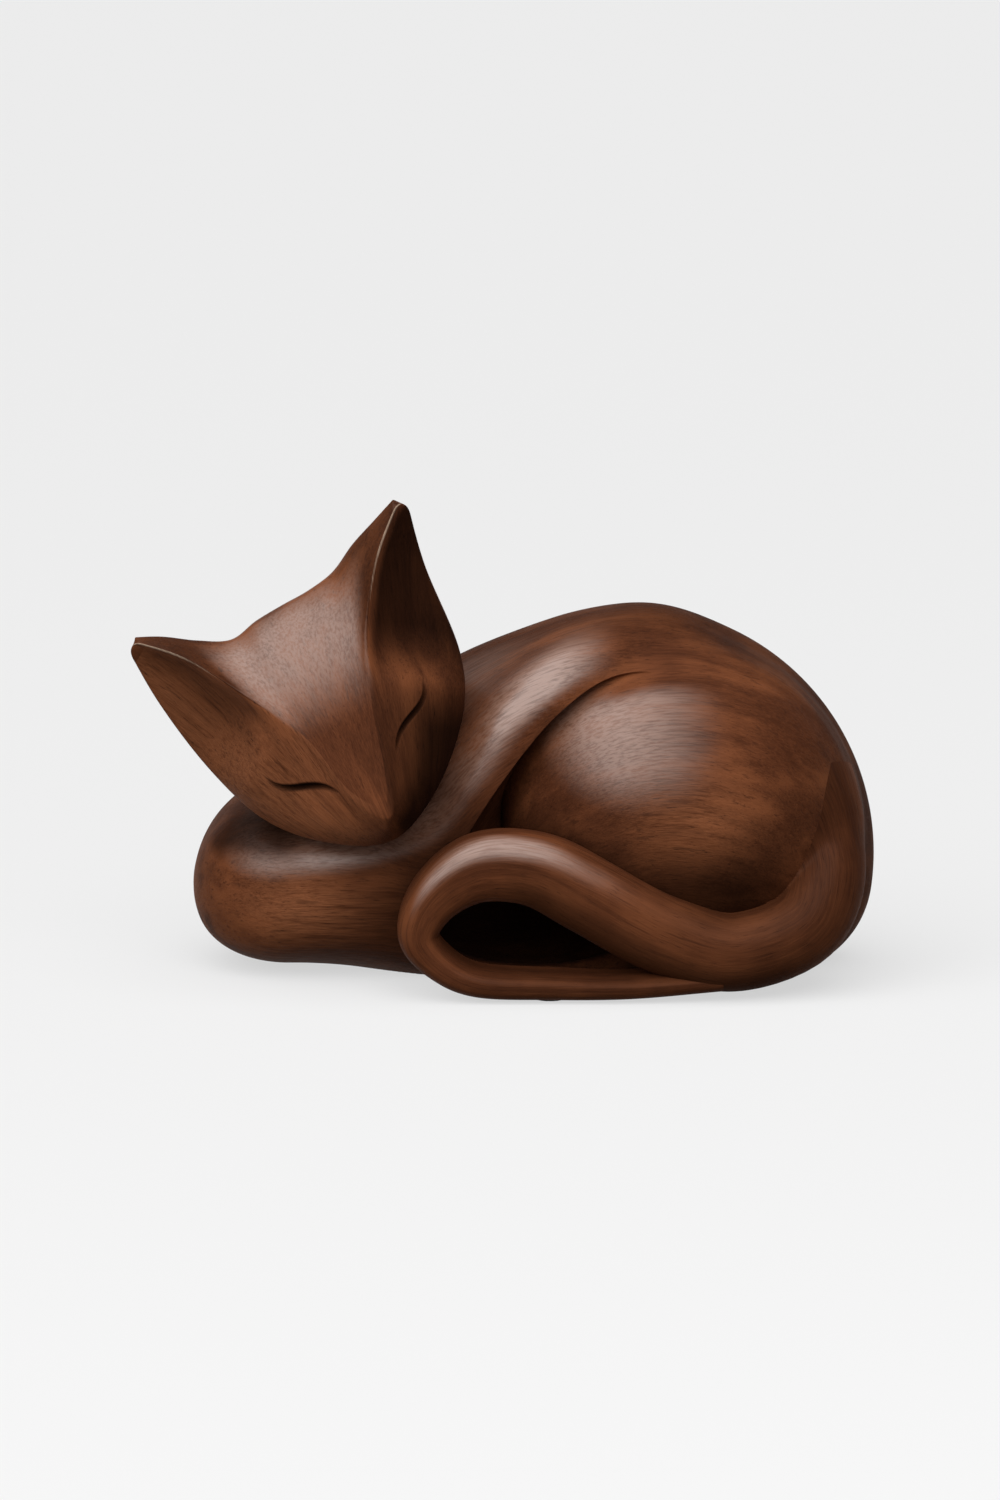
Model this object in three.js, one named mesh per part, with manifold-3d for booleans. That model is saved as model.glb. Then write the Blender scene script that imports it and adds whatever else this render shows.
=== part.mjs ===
// Sleeping cat figurine, carved in walnut from four blocks that are glued and dowelled together.
// Millimetres, +Z up, +X to the cat's tail end, -Y towards the viewer. The origin is under the middle.
import * as THREE from 'three';
import { mergeVertices } from 'three/addons/utils/BufferGeometryUtils.js';
import Module from 'manifold-3d';

const wasm = await Module();
wasm.setup();

// Base and joints
const padStand = 0.8;
const padRadius = 7;
const padRecess = 1.6;
const glueGap = 0.3;
const dowelRadius = 4;
const dowelLength = 32;
const dowelFit = 0.25;
const shoulderSeam = -36;

// Trunk: the masses that the body and the forelegs are carved from
const backCentre = new THREE.Vector3(52, 22, 45);
const backRadii = new THREE.Vector3(100, 52, 101.5);
const shoulderCentre = new THREE.Vector3(-8, 28, 40);
const shoulderRadii = new THREE.Vector3(58, 47, 77);
const chestCentre = new THREE.Vector3(-60, 34, 44);
const chestRadii = new THREE.Vector3(54, 38, 38);
const rollCentre = new THREE.Vector3(-50, 25, 31.5);
const rollRadii = new THREE.Vector3(39, 48, 36);
const rollStraight = 70;
const rollRound = 2;
const rollSquare = 2.8;
const bandRadius = 8;
const haunchCentre = new THREE.Vector3(71, -8, 67);
const haunchRadii = new THREE.Vector3(70, 47, 66);
const haunchDome = 1.44;
const hollowCentre = new THREE.Vector3(14, -22, 30);
const hollowRadii = new THREE.Vector3(46, 26, 21);
const shoulderBlend = 30;
const chestBlend = 30;
const rollBlend = 16;
const bandBlend = 34;
const rumpBlend = 18;
const creaseBlend = 2;
const haunchInset = 0.5;
const creaseStart = 30;
const creaseEnd = 60;
const rumpEnd = 100;
const rumpFade = 30;
const baseRounding = 26;
const rumpRounding = 42;
const rumpStart = 40;
const rumpFull = 140;

// Head: a shield that runs from ear tip to ear tip, with its ridges
const earSpan = 121.5;
const faceLength = 121.5;
const faceRelief = 26;
const headDepth = 46;
const headRoll = 28.2;
const headTurn = 4.5;
const headPitch = 7.7;
const earLine = new THREE.Vector3(-95, -22, 169.5);
const crownFullness = 0.21;
const browFullness = 0.09;
const browFill = 0.15;
const browEnd = 0.4;
const earThin = 0.4;
const earThinEnd = 0.75;
const cheekFullness = 0.14;
const jawFullness = 0.3;
const earHollow = 0.3;
const earRim = 0.05;
const earHollowStart = 0.47;
const earHollowEnd = 0.66;
const earBlunt = 0.05;
const tipLength = 3.2;
const tipStart = 0.3;
const tipEnd = 0.98;
const eyeWidth = 2;
const eyeDepth = 2.5;
const eyeSway = 0.042;
const eyeBow = 0.04;
const eyeTip = 0.14;
const eyeProbe = 0.01;

// Tail: a round root that flattens to a ribbon in its curl
const tailThickness = 31;
const tailDepth = 31;
const tailDowelOffset = 6;

// Mesh steps
const bandSteps = 36;
const creaseSteps = 26;
const creaseSides = 12;
const hollowSides = 24;
const hollowRows = 14;
const trunkSteps = 58;
const trunkSides = 44;
const creaseSide = 0.78 * Math.PI;
const creaseCrowding = 0.45;
const haunchSides = 48;
const haunchRows = 28;
const headSteps = 35;
const tipSteps = 4;
const foreheadSides = 10;
const cheekSides = 10;
const napeSides = 12;
const eyeSteps = 10;
const tailSteps = 62;
const tailSides = 16;
const roundSides = 14;
const marchStep = 2;
const halvings = 22;

const baseLevel = padStand;
const rollHeart = rollCentre;
const backHeart = backCentre;
const farAway = 400;
const curveTension = 0.5;
const walnut = { color: 0x4a2a1b, roughness: 0.45, metalness: 0 };
const beech = { color: 0xc9a67a, roughness: 0.6, metalness: 0 };
const felt = { color: 0x2b2420, roughness: 0.95, metalness: 0 };

const clamp01 = (a) => Math.min(Math.max(a, 0), 1);
const mix = (a, b, w) => a + (b - a) * w;

function smooth(low, high, value) {
  const w = clamp01((value - low) / (high - low));
  return w * w * (3 - 2 * w);
}

// Distance to an ellipsoid, near enough close to its skin
function eggDistance(p, centre, radii) {
  const q = p.clone().sub(centre).divide(radii);
  const k = q.length();
  const slope = q.divide(radii).length();
  return slope === 0 ? -Math.min(radii.x, radii.y, radii.z) : (k * (k - 1)) / slope;
}

// The nearer of two distances, with a fillet of a given width between them
function join(a, b, width) {
  const w = Math.max(width - Math.abs(a - b), 0) / width;
  return Math.min(a, b) - (w * w * width) / 4;
}

const curve = (points) => new THREE.CatmullRomCurve3(points, false, 'catmullrom', curveTension);

// Middle of the raised band that runs from the forelegs up round the haunch and fades into the back
const bandLine = curve([
  new THREE.Vector3(-92, 6, 38),
  new THREE.Vector3(-66, -8.5, 43),
  new THREE.Vector3(-42, -10, 50.5),
  new THREE.Vector3(-19, -15, 61),
  new THREE.Vector3(-1.5, -19, 84),
  new THREE.Vector3(9, -18.5, 105),
  new THREE.Vector3(25, -13.5, 119),
  new THREE.Vector3(42, -6, 125),
  new THREE.Vector3(60, 4, 127),
]);
const bandPoints = bandLine.getPoints(bandSteps);
function bandDistance(p) {
  return Math.min(...bandPoints.map((b) => p.distanceTo(b))) - bandRadius;
}

// Middle of the crease between band and haunch, with its half width and half depth at each point
const creaseLine = curve([
  new THREE.Vector3(-8, -30, 42),
  new THREE.Vector3(-0.1, -30, 57),
  new THREE.Vector3(8.4, -30, 72.7),
  new THREE.Vector3(17.1, -30, 87),
  new THREE.Vector3(26.5, -29, 100.7),
  new THREE.Vector3(35.9, -26, 112),
  new THREE.Vector3(45.5, -22, 119.3),
  new THREE.Vector3(57.4, -17, 125.1),
  new THREE.Vector3(66, -12, 128),
  new THREE.Vector3(76, -8, 129),
]);
const creaseSizes = curve([
  new THREE.Vector3(14, 26, 0),
  new THREE.Vector3(14, 26, 0),
  new THREE.Vector3(13, 26, 0),
  new THREE.Vector3(12.5, 26, 0),
  new THREE.Vector3(11.5, 25, 0),
  new THREE.Vector3(10, 22, 0),
  new THREE.Vector3(8, 18, 0),
  new THREE.Vector3(5.5, 12, 0),
  new THREE.Vector3(3, 7, 0),
  new THREE.Vector3(0.5, 2, 0),
]);

// Centre line of the tail from inside the rump, round the curl and back under itself
const tailLine = curve([
  new THREE.Vector3(116, 4, 84),
  new THREE.Vector3(129, -9, 62),
  new THREE.Vector3(130, -25, 41.5),
  new THREE.Vector3(119, -38, 25.5),
  new THREE.Vector3(92, -46, 18.3),
  new THREE.Vector3(65, -47, 26),
  new THREE.Vector3(36, -46.5, 41.5),
  new THREE.Vector3(14, -46, 52),
  new THREE.Vector3(-8, -45.5, 52.5),
  new THREE.Vector3(-25, -45.5, 41.5),
  new THREE.Vector3(-32, -45.5, 26),
  new THREE.Vector3(-23, -45.5, 14),
  new THREE.Vector3(-8, -46, 7.2),
  new THREE.Vector3(20, -46, 5.8),
  new THREE.Vector3(52, -46, 5.6),
  new THREE.Vector3(88, -45, 8),
]);

// Thickness across the curl and depth from front to back at each point, as shares of the tail's own sizes
const tailSizes = curve([
  new THREE.Vector3(0.95, 0.95, 2),
  new THREE.Vector3(0.98, 0.98, 2),
  new THREE.Vector3(1, 1, 2),
  new THREE.Vector3(1, 1, 2),
  new THREE.Vector3(1, 1, 2.1),
  new THREE.Vector3(1.04, 1, 2.2),
  new THREE.Vector3(1.02, 0.98, 2.3),
  new THREE.Vector3(0.95, 0.96, 2.4),
  new THREE.Vector3(0.88, 0.95, 2.5),
  new THREE.Vector3(0.7, 0.94, 2.6),
  new THREE.Vector3(0.53, 0.94, 2.8),
  new THREE.Vector3(0.44, 0.94, 2.8),
  new THREE.Vector3(0.38, 0.94, 2.8),
  new THREE.Vector3(0.35, 0.92, 2.8),
  new THREE.Vector3(0.32, 0.9, 2.6),
  new THREE.Vector3(0.3, 0.84, 2.4),
]);
const tailJoint = 0.06;
const tailTurn = 0.66;
const tailPadAt = 13 / 15;

// Distance to the foreleg roll: an ellipsoid drawn out along X, the upper half of its section a rounded box
function rollDistance(p) {
  const half = rollStraight / 2;
  const slide = Math.min(Math.max(p.x - rollCentre.x, -half), half);
  const q = new THREE.Vector3(p.x - slide, p.y, p.z).sub(rollCentre).divide(rollRadii);
  const power = mix(rollRound, rollSquare, smooth(-0.25, 0.35, q.z));
  const wide = Math.max((Math.abs(q.y) ** power + Math.abs(q.z) ** power) ** (1 / power), 1e-6);
  const k = Math.hypot(q.x, wide);
  const lean = (part) => ((Math.abs(part) / wide) ** (power - 1) * wide) / k;
  const slope = Math.hypot(q.x / k / rollRadii.x, lean(q.y) / rollRadii.y, lean(q.z) / rollRadii.z);
  return (k - 1) / slope;
}

// Distance to the haunch: an ellipsoid whose near side is a softer dome
function haunchDistance(p) {
  const q = p.clone().sub(haunchCentre).divide(haunchRadii);
  const power = q.y < 0 ? 2 / haunchDome : 2;
  const deep = Math.abs(q.y);
  const rise = (power * Math.max(deep, 0.02) ** (power - 1)) / haunchRadii.y;
  const slope = Math.hypot((2 * q.x) / haunchRadii.x, (2 * q.z) / haunchRadii.z, rise);
  return (q.x ** 2 + q.z ** 2 + deep ** power - 1) / slope;
}

// Distance to the trunk; the fillet between flank and haunch widens from the crease towards the rump
function trunkDistance(p) {
  const back = eggDistance(p, backCentre, backRadii);
  const shoulder = join(back, eggDistance(p, shoulderCentre, shoulderRadii), shoulderBlend);
  const chest = join(shoulder, eggDistance(p, chestCentre, chestRadii), chestBlend);
  const flank = join(join(chest, rollDistance(p), rollBlend), bandDistance(p), bandBlend);
  const filled = smooth(creaseStart, rumpEnd, p.x) * (1 - smooth(0, rumpFade, p.y));
  const rump = join(flank, haunchDistance(p) + haunchInset, mix(creaseBlend, rumpBlend, filled));
  const trunk = mix(flank, rump, smooth(creaseStart, creaseEnd, p.x));
  const rounding = mix(baseRounding, rumpRounding, smooth(rumpStart, rumpFull, p.x));
  return -join(-trunk, p.z - baseLevel + rounding / 4, rounding);
}

// How far a ray runs inside the trunk before it leaves it by more than a gap
function reach(from, along, gap) {
  const outside = (far) => trunkDistance(from.clone().addScaledVector(along, far)) > gap;
  let low = 0;
  while (!outside(low + marchStep)) low += marchStep;
  let high = low + marchStep;
  for (let i = 0; i < halvings; i += 1) {
    const half = (low + high) / 2;
    if (outside(half)) high = half;
    else low = half;
  }
  return low;
}

// Skin over a row of closed rings, with a point or a flat cap at each end
function skin(rings, startPoint, endPoint) {
  const sides = rings[0].length;
  const places = [startPoint, ...rings.flat(), endPoint];
  const last = places.length - 1;
  const faces = [];
  for (let j = 0; j < sides; j += 1) {
    const k = (j + 1) % sides;
    faces.push(0, 1 + k, 1 + j);
    faces.push(last, last - sides + j, last - sides + k);
  }
  for (let i = 0; i + 1 < rings.length; i += 1) {
    for (let j = 0; j < sides; j += 1) {
      const k = (j + 1) % sides;
      const a = 1 + i * sides + j;
      const b = 1 + i * sides + k;
      faces.push(a, b, a + sides);
      faces.push(b, b + sides, a + sides);
    }
  }
  const geometry = new THREE.BufferGeometry();
  geometry.setAttribute('position', new THREE.Float32BufferAttribute(places.flatMap((p) => p.toArray()), 3));
  geometry.setIndex(faces);
  return geometry;
}

const middle = (ring) => ring.reduce((sum, p) => sum.add(p), new THREE.Vector3()).divideScalar(ring.length);

function solid(geometry) {
  const bare = geometry.clone();
  bare.deleteAttribute('normal');
  bare.deleteAttribute('uv');
  const merged = mergeVertices(bare, 1e-4);
  return new wasm.Manifold(new wasm.Mesh({
    numProp: 3,
    vertProperties: new Float32Array(merged.attributes.position.array),
    triVerts: new Uint32Array(merged.index.array),
  }));
}

function piece(name, shape, finish) {
  const { vertProperties, triVerts } = shape.getMesh();
  const geometry = new THREE.BufferGeometry();
  geometry.setAttribute('position', new THREE.BufferAttribute(new Float32Array(vertProperties), 3));
  geometry.setIndex(new THREE.BufferAttribute(new Uint32Array(triVerts), 1));
  geometry.computeVertexNormals();
  const mesh = new THREE.Mesh(geometry, new THREE.MeshStandardMaterial(finish));
  mesh.name = name;
  return mesh;
}

// Trunk skin: rings square to X, about a line from the heart of the forelegs to the heart of the back,
// with their points crowded towards the crease
function trunkSkin(gap) {
  const leftEnd = rollHeart.clone();
  leftEnd.x -= reach(rollHeart, new THREE.Vector3(-1, 0, 0), gap);
  const rightEnd = backHeart.clone();
  rightEnd.x += reach(backHeart, new THREE.Vector3(1, 0, 0), gap);
  const rings = Array.from({ length: trunkSteps - 1 }, (_, i) => {
    const t = (i + 1) / trunkSteps;
    const from = leftEnd.clone().lerp(rightEnd, (1 - Math.cos(Math.PI * t)) / 2);
    return Array.from({ length: trunkSides }, (_unused, j) => {
      const even = (2 * Math.PI * j) / trunkSides;
      const turn = even - creaseCrowding * Math.sin(even - creaseSide);
      const along = new THREE.Vector3(0, Math.cos(turn), Math.sin(turn));
      return from.clone().addScaledVector(along, reach(from, along, gap));
    });
  });
  return solid(skin(rings, leftEnd, rightEnd));
}

// Tail rings carry a rounded box section along the centre line
function tailRing(at, gap) {
  const place = tailLine.getPoint(at);
  const along = tailLine.getTangent(at);
  const across = new THREE.Vector3().crossVectors(along, new THREE.Vector3(0, 1, 0)).normalize();
  const deep = new THREE.Vector3().crossVectors(across, along).normalize();
  const size = tailSizes.getPoint(at);
  return Array.from({ length: tailSides }, (_, j) => {
    const turn = (2 * Math.PI * j) / tailSides;
    const c = Math.cos(turn);
    const s = Math.sin(turn);
    const bulge = (Math.abs(c) ** size.z + Math.abs(s) ** size.z) ** (-1 / size.z);
    return place.clone()
      .addScaledVector(deep, c * bulge * ((size.y * tailDepth) / 2 + gap))
      .addScaledVector(across, s * bulge * ((size.x * tailThickness) / 2 + gap));
  });
}

// The tail is swept as two runs that meet at the turn of the curl, so that its end can run into itself
function tailSkin(gap) {
  const start = tailJoint - gap / tailLine.getLength();
  const rings = Array.from({ length: tailSteps + 1 }, (_, i) => tailRing(mix(start, 1, i / tailSteps), gap));
  const turn = Math.round(tailTurn * tailSteps);
  const run = (part) => solid(skin(part, middle(part[0]), middle(part.at(-1))));
  return run(rings.slice(0, turn + 1)).add(run(rings.slice(turn - 1)));
}

// The crease is cut by an oval carried along its line
function creaseRing(at) {
  const across = new THREE.Vector3().crossVectors(creaseLine.getTangent(at), new THREE.Vector3(0, 1, 0)).normalize();
  const size = creaseSizes.getPoint(at);
  return Array.from({ length: creaseSides }, (_, j) => {
    const turn = (2 * Math.PI * j) / creaseSides;
    return creaseLine.getPoint(at)
      .addScaledVector(across, Math.sin(turn) * size.x)
      .add(new THREE.Vector3(0, Math.cos(turn) * size.y, 0));
  });
}

function block(low, high) {
  const size = high.clone().sub(low);
  const centre = high.clone().add(low).divideScalar(2);
  return solid(new THREE.BoxGeometry(...size).translate(...centre));
}

// A ball of radius 1 whose near side is drawn out to a softer dome
function domedBall(sides, rows, dome) {
  const ball = new THREE.SphereGeometry(1, sides, rows);
  const places = ball.attributes.position;
  for (let i = 0; i < places.count; i += 1) {
    const y = places.getY(i);
    if (y < 0) places.setY(i, -(Math.abs(y) ** dome));
  }
  return ball;
}

// The trunk is sawn in two at the shoulder, and the haunch stands out of the rear half as a dome
const farLow = new THREE.Vector3(-farAway, -farAway, -farAway);
const farHigh = new THREE.Vector3(farAway, farAway, farAway);
const groundBlock = block(farLow, new THREE.Vector3(farAway, farAway, baseLevel));
const leftBlock = block(farLow, new THREE.Vector3(shoulderSeam, farAway, farAway));
const rightBlock = block(new THREE.Vector3(shoulderSeam - glueGap, -farAway, -farAway), farHigh);
const haunchSolid = solid(domedBall(haunchSides, haunchRows, haunchDome)
  .scale(...haunchRadii).translate(...haunchCentre));
const hollowCutter = solid(domedBall(hollowSides, hollowRows, 1)
  .scale(...hollowRadii).translate(...hollowCentre));
const creaseRings = Array.from({ length: creaseSteps + 1 }, (_, i) => creaseRing(i / creaseSteps));
const creaseCutter = solid(skin(creaseRings, creaseLine.getPoint(0), creaseLine.getPoint(1)));
const tailCutter = tailSkin(glueGap);
const trunk = trunkSkin(0).subtract(groundBlock);
const rearHalf = trunk.subtract(leftBlock).subtract(creaseCutter);
const bodySolid = rearHalf.add(haunchSolid).subtract(hollowCutter).subtract(tailCutter);
const rollSolid = trunk.subtract(rightBlock).subtract(tailCutter);
const tailSolid = tailSkin(0).subtract(groundBlock);

// Lines of the head in shares of half the ear span, the face length and the relief, middle to ear tip
const crownLeft = [[0.2, 0.142, -0.45], [0.4, 0.161, -0.42], [0.6, 0.114, -0.35],
  [0.8, 0.049, -0.22], [1.022, -0.003, -0.04]];
const crownRight = [[0, 0.135, -0.45], [0.2, 0.134, -0.45], [0.4, 0.12, -0.42], [0.6, 0.074, -0.35],
  [0.8, 0.042, -0.22], [1.07, -0.003, -0.04]];
const ridgeLeft = [[0.082, 0.807, 0.92], [0.194, 0.579, 0.76], [0.43, 0.376, 0.58],
  [0.69, 0.16, 0.32], [1.022, -0.003, 0.02]];
const ridgeRight = [[0.085, 0.917, 0.98], [0.165, 0.815, 0.92], [0.259, 0.588, 0.76], [0.429, 0.373, 0.58],
  [0.699, 0.167, 0.32], [1.07, -0.003, 0.02]];
const jawLeft = [[0.398, 0.9, 0], [0.716, 0.744, -0.35], [0.905, 0.519, -0.5],
  [1.009, 0.248, -0.4], [1.022, 0, -0.04]];
const jawRight = [[0, 0.994, 0.2], [0.385, 0.925, 0], [0.749, 0.754, -0.35], [0.918, 0.563, -0.5],
  [0.964, 0.25, -0.4], [1.07, 0, -0.04]];
const backRight = [1, 0.96, 0.82, 0.56, 0.28, 0.02];

// A line of the head from the left ear tip to the right one, swayed to one side as it comes down the face
function headLine(leftHalf, rightHalf, bend) {
  const share = (p, side) => new THREE.Vector3(
    (side * p[0] * earSpan) / 2 - p[1] ** bend * headTurn, -p[2] * faceRelief, -p[1] * faceLength);
  const left = leftHalf.toReversed().map((p) => share(p, -1));
  return curve([...left, ...rightHalf.map((p) => share(p, 1))]);
}
const crownLine = headLine(crownLeft, crownRight, 1);
const ridgeLine = headLine(ridgeLeft, ridgeRight, 3);
const jawLine = headLine(jawLeft, jawRight, 1);
const backLine = curve([...backRight.slice(1).toReversed(), ...backRight]
  .map((share) => new THREE.Vector3(share * headDepth, 0, 0)));

const cubic = (p, w) => new THREE.CubicBezierCurve3(...p).getPoint(w);
const forward = (p, by) => p.clone().add(new THREE.Vector3(0, -by, 0));

// The arcs of one section of the head: forehead, then cheek or ear hollow, then the back of the head
function headArcs(at) {
  const crown = crownLine.getPoint(at);
  const ridge = ridgeLine.getPoint(at);
  const jaw = jawLine.getPoint(at);
  const deep = (backLine.getPoint(at).x * 4) / 3;
  const share = Math.abs(2 * at - 1);
  const ear = smooth(earHollowStart, earHollowEnd, share);
  const rise = crown.distanceTo(ridge);
  const fall = jaw.distanceTo(ridge);
  const full = rise * (1 + browFill * smooth(0, browEnd, share) - earThin * smooth(browEnd, earThinEnd, share));
  const forehead = [crown, forward(crown.clone().lerp(ridge, 0.1), crownFullness * full),
    forward(ridge.clone().lerp(crown, 0.4), browFullness * full), ridge];
  const cheek = [ridge, forward(ridge.clone().lerp(jaw, 0.4), mix(cheekFullness, -earHollow, ear) * fall),
    forward(jaw.clone().lerp(ridge, 0.12), mix(jawFullness, earRim, ear) * fall), jaw];
  const nape = [jaw, forward(jaw, -deep), forward(crown, -deep), crown];
  return [forehead, cheek, nape];
}

// A point on the cheek of a section, from the ridge down to the jaw
const cheekPoint = (at, fall) => cubic(headArcs(at)[1], fall);

function headRing(at) {
  const counts = [foreheadSides, cheekSides, napeSides];
  return headArcs(at).flatMap((arc, a) => (
    Array.from({ length: counts[a] }, (_, j) => cubic(arc, j / counts[a]))));
}

const headPlace = new THREE.Matrix4().makeTranslation(earLine)
  .multiply(new THREE.Matrix4().makeRotationY(THREE.MathUtils.degToRad(-headRoll)))
  .multiply(new THREE.Matrix4().makeRotationX(THREE.MathUtils.degToRad(-headPitch)));

// A rounded ear tip: the last section, drawn in about its middle as it moves on
function earTip(last, before) {
  const heart = middle(last);
  const along = heart.clone().sub(middle(before)).normalize();
  return Array.from({ length: tipSteps }, (_, i) => {
    const u = mix(tipStart, tipEnd, (i + 1) / tipSteps);
    const size = Math.sqrt((1 - u * u) / (1 - tipStart * tipStart));
    return last.map((p) => heart.clone().lerp(p, size).addScaledVector(along, tipLength * (u - tipStart)));
  });
}

const faceRings = Array.from({ length: headSteps }, (_, i) => {
  const share = mix(earBlunt - 1, 1 - earBlunt, i / (headSteps - 1));
  return headRing((1 + share) / 2);
});
const leftTip = earTip(faceRings[0], faceRings[1]).toReversed();
const rightTip = earTip(faceRings.at(-1), faceRings.at(-2));
const headRings = [...leftTip, ...faceRings, ...rightTip];
const headGeometry = skin(headRings, middle(headRings[0]), middle(headRings.at(-1))).applyMatrix4(headPlace);
const headSkin = solid(headGeometry);
const headSolid = headSkin.subtract(trunkSkin(glueGap));

// A dowel lies across a joint, in a blind hole in each of the two pieces
function dowelShape(centre, along, grow) {
  const turn = new THREE.Quaternion().setFromUnitVectors(new THREE.Vector3(0, 1, 0), along);
  const radius = dowelRadius + grow;
  const rod = new THREE.CylinderGeometry(radius, radius, dowelLength + 2 * grow, roundSides);
  return solid(rod.applyQuaternion(turn).translate(...centre));
}

// A point inside the head, in shares of half the ear span, the head's depth and the face length
const headInside = (side, deep, fall) => new THREE.Vector3(
  (side * earSpan) / 2, deep * headDepth, -fall * faceLength).applyMatrix4(headPlace);

// Head dowels leave the trunk on the line from its inside to the inside of the head
const headDowels = [
  { name: 'head_dowel_left', from: new THREE.Vector3(-57, 4, 62), to: headInside(0.01, 0.53, 0.63) },
  { name: 'head_dowel_right', from: new THREE.Vector3(-30, 3, 80), to: headInside(0.466, 0.385, 0.648) },
].map(({ name, from, to }) => {
  const along = to.clone().sub(from).normalize();
  return { name, along, centre: from.clone().addScaledVector(along, reach(from, along, 0)) };
});
const seamDowels = [
  { name: 'foreleg_dowel_low', y: 24, z: 26 },
  { name: 'foreleg_dowel_high', y: 34, z: 58 },
].map(({ name, y, z }) => (
  { name, along: new THREE.Vector3(1, 0, 0), centre: new THREE.Vector3(shoulderSeam - glueGap / 2, y, z) }));
const tailDowels = [-1, 1].map((side) => {
  const along = tailLine.getTangent(tailJoint);
  const across = new THREE.Vector3().crossVectors(along, new THREE.Vector3(0, 1, 0)).normalize();
  const centre = tailLine.getPoint(tailJoint).addScaledVector(across, side * tailDowelOffset);
  return { name: side < 0 ? 'tail_dowel_outer' : 'tail_dowel_inner', along, centre };
});

// Round felt pads sit in shallow sockets under the base and carry the weight
function padShape(x, y, grow) {
  const height = padStand + padRecess + grow;
  const disc = new THREE.CylinderGeometry(padRadius + grow, padRadius + grow, height, roundSides);
  return solid(disc.rotateX(Math.PI / 2).translate(x, y, height / 2));
}
const padUnder = (name, mass, right, back) => ({ name, x: mass.x + right, y: mass.y + back });
const bodyPads = [
  padUnder('felt_pad_rump', backCentre, 42, 12),
  padUnder('felt_pad_shoulder', shoulderCentre, 12, 16),
];
const rollPads = [padUnder('felt_pad_forelegs', rollCentre, -9, 5)];
const tailPads = [padUnder('felt_pad_tail', tailLine.getPoint(tailPadAt), 0, 0)];

const cutAll = (shape, cutters) => cutters.reduce((left, cutter) => left.subtract(cutter), shape);
const holes = (dowels) => dowels.map((d) => dowelShape(d.centre, d.along, dowelFit));
const sockets = (pads) => pads.map((p) => padShape(p.x, p.y, dowelFit));

// Closed eyes: where each slit starts and ends, in shares of half the ear span and of the cheek's fall
const eyes = [
  { side: -1, inner: 0.248, outer: 0.455, innerFall: 0.115, outerFall: 0.49 },
  { side: 1, inner: 0.296, outer: 0.51, innerFall: 0.186, outerFall: 0.474 },
];

// A slit runs along the cheek and is deepest in the middle
function eyeCutter({ side, inner, outer, innerFall, outerFall }) {
  const rings = Array.from({ length: eyeSteps + 1 }, (_, i) => {
    const w = i / eyeSteps;
    const station = (1 + side * mix(inner, outer, w)) / 2;
    const curl = eyeBow * Math.sin(Math.PI * w) - eyeSway * Math.sin(2 * Math.PI * w);
    const fall = mix(innerFall, outerFall, w) + curl;
    const place = cheekPoint(station, fall);
    const along = cheekPoint(station + side * eyeProbe, fall).sub(place);
    const down = cheekPoint(station, fall + eyeProbe).sub(place);
    const out = new THREE.Vector3().crossVectors(down, along).multiplyScalar(side).normalize();
    const across = new THREE.Vector3().crossVectors(out, along).normalize();
    const opening = Math.max(Math.sin(Math.PI * w), eyeTip);
    const wide = (eyeWidth / 2) * opening;
    const deep = eyeDepth * opening;
    return [[out, deep], [across, -wide], [out, -deep], [across, wide]]
      .map(([way, by]) => place.clone().addScaledVector(way, by));
  });
  return solid(skin(rings, middle(rings[0]), middle(rings[eyeSteps])).applyMatrix4(headPlace));
}

const figurine = new THREE.Group();
const bodyHoles = [...holes(headDowels), ...holes(seamDowels), ...holes(tailDowels), ...sockets(bodyPads)];
figurine.add(piece('body', cutAll(bodySolid, bodyHoles), walnut));
const rollHoles = [...holes(headDowels), ...holes(seamDowels), ...sockets(rollPads)];
figurine.add(piece('forelegs', cutAll(rollSolid, rollHoles), walnut));
figurine.add(piece('head', cutAll(headSolid, [...holes(headDowels), ...eyes.map(eyeCutter)]), walnut));
figurine.add(piece('tail', cutAll(tailSolid, [...holes(tailDowels), ...sockets(tailPads)]), walnut));
[...headDowels, ...seamDowels, ...tailDowels].forEach((d) => (
  figurine.add(piece(d.name, dowelShape(d.centre, d.along, 0), beech))));
[...bodyPads, ...rollPads, ...tailPads].forEach((p) => (
  figurine.add(piece(p.name, padShape(p.x, p.y, 0), felt))));

// The origin lies under the middle of the figure
const middleOfBox = new THREE.Box3().setFromObject(figurine).getCenter(new THREE.Vector3());
figurine.position.set(-middleOfBox.x, -middleOfBox.y, 0);

export default figurine;
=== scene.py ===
import math

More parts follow.
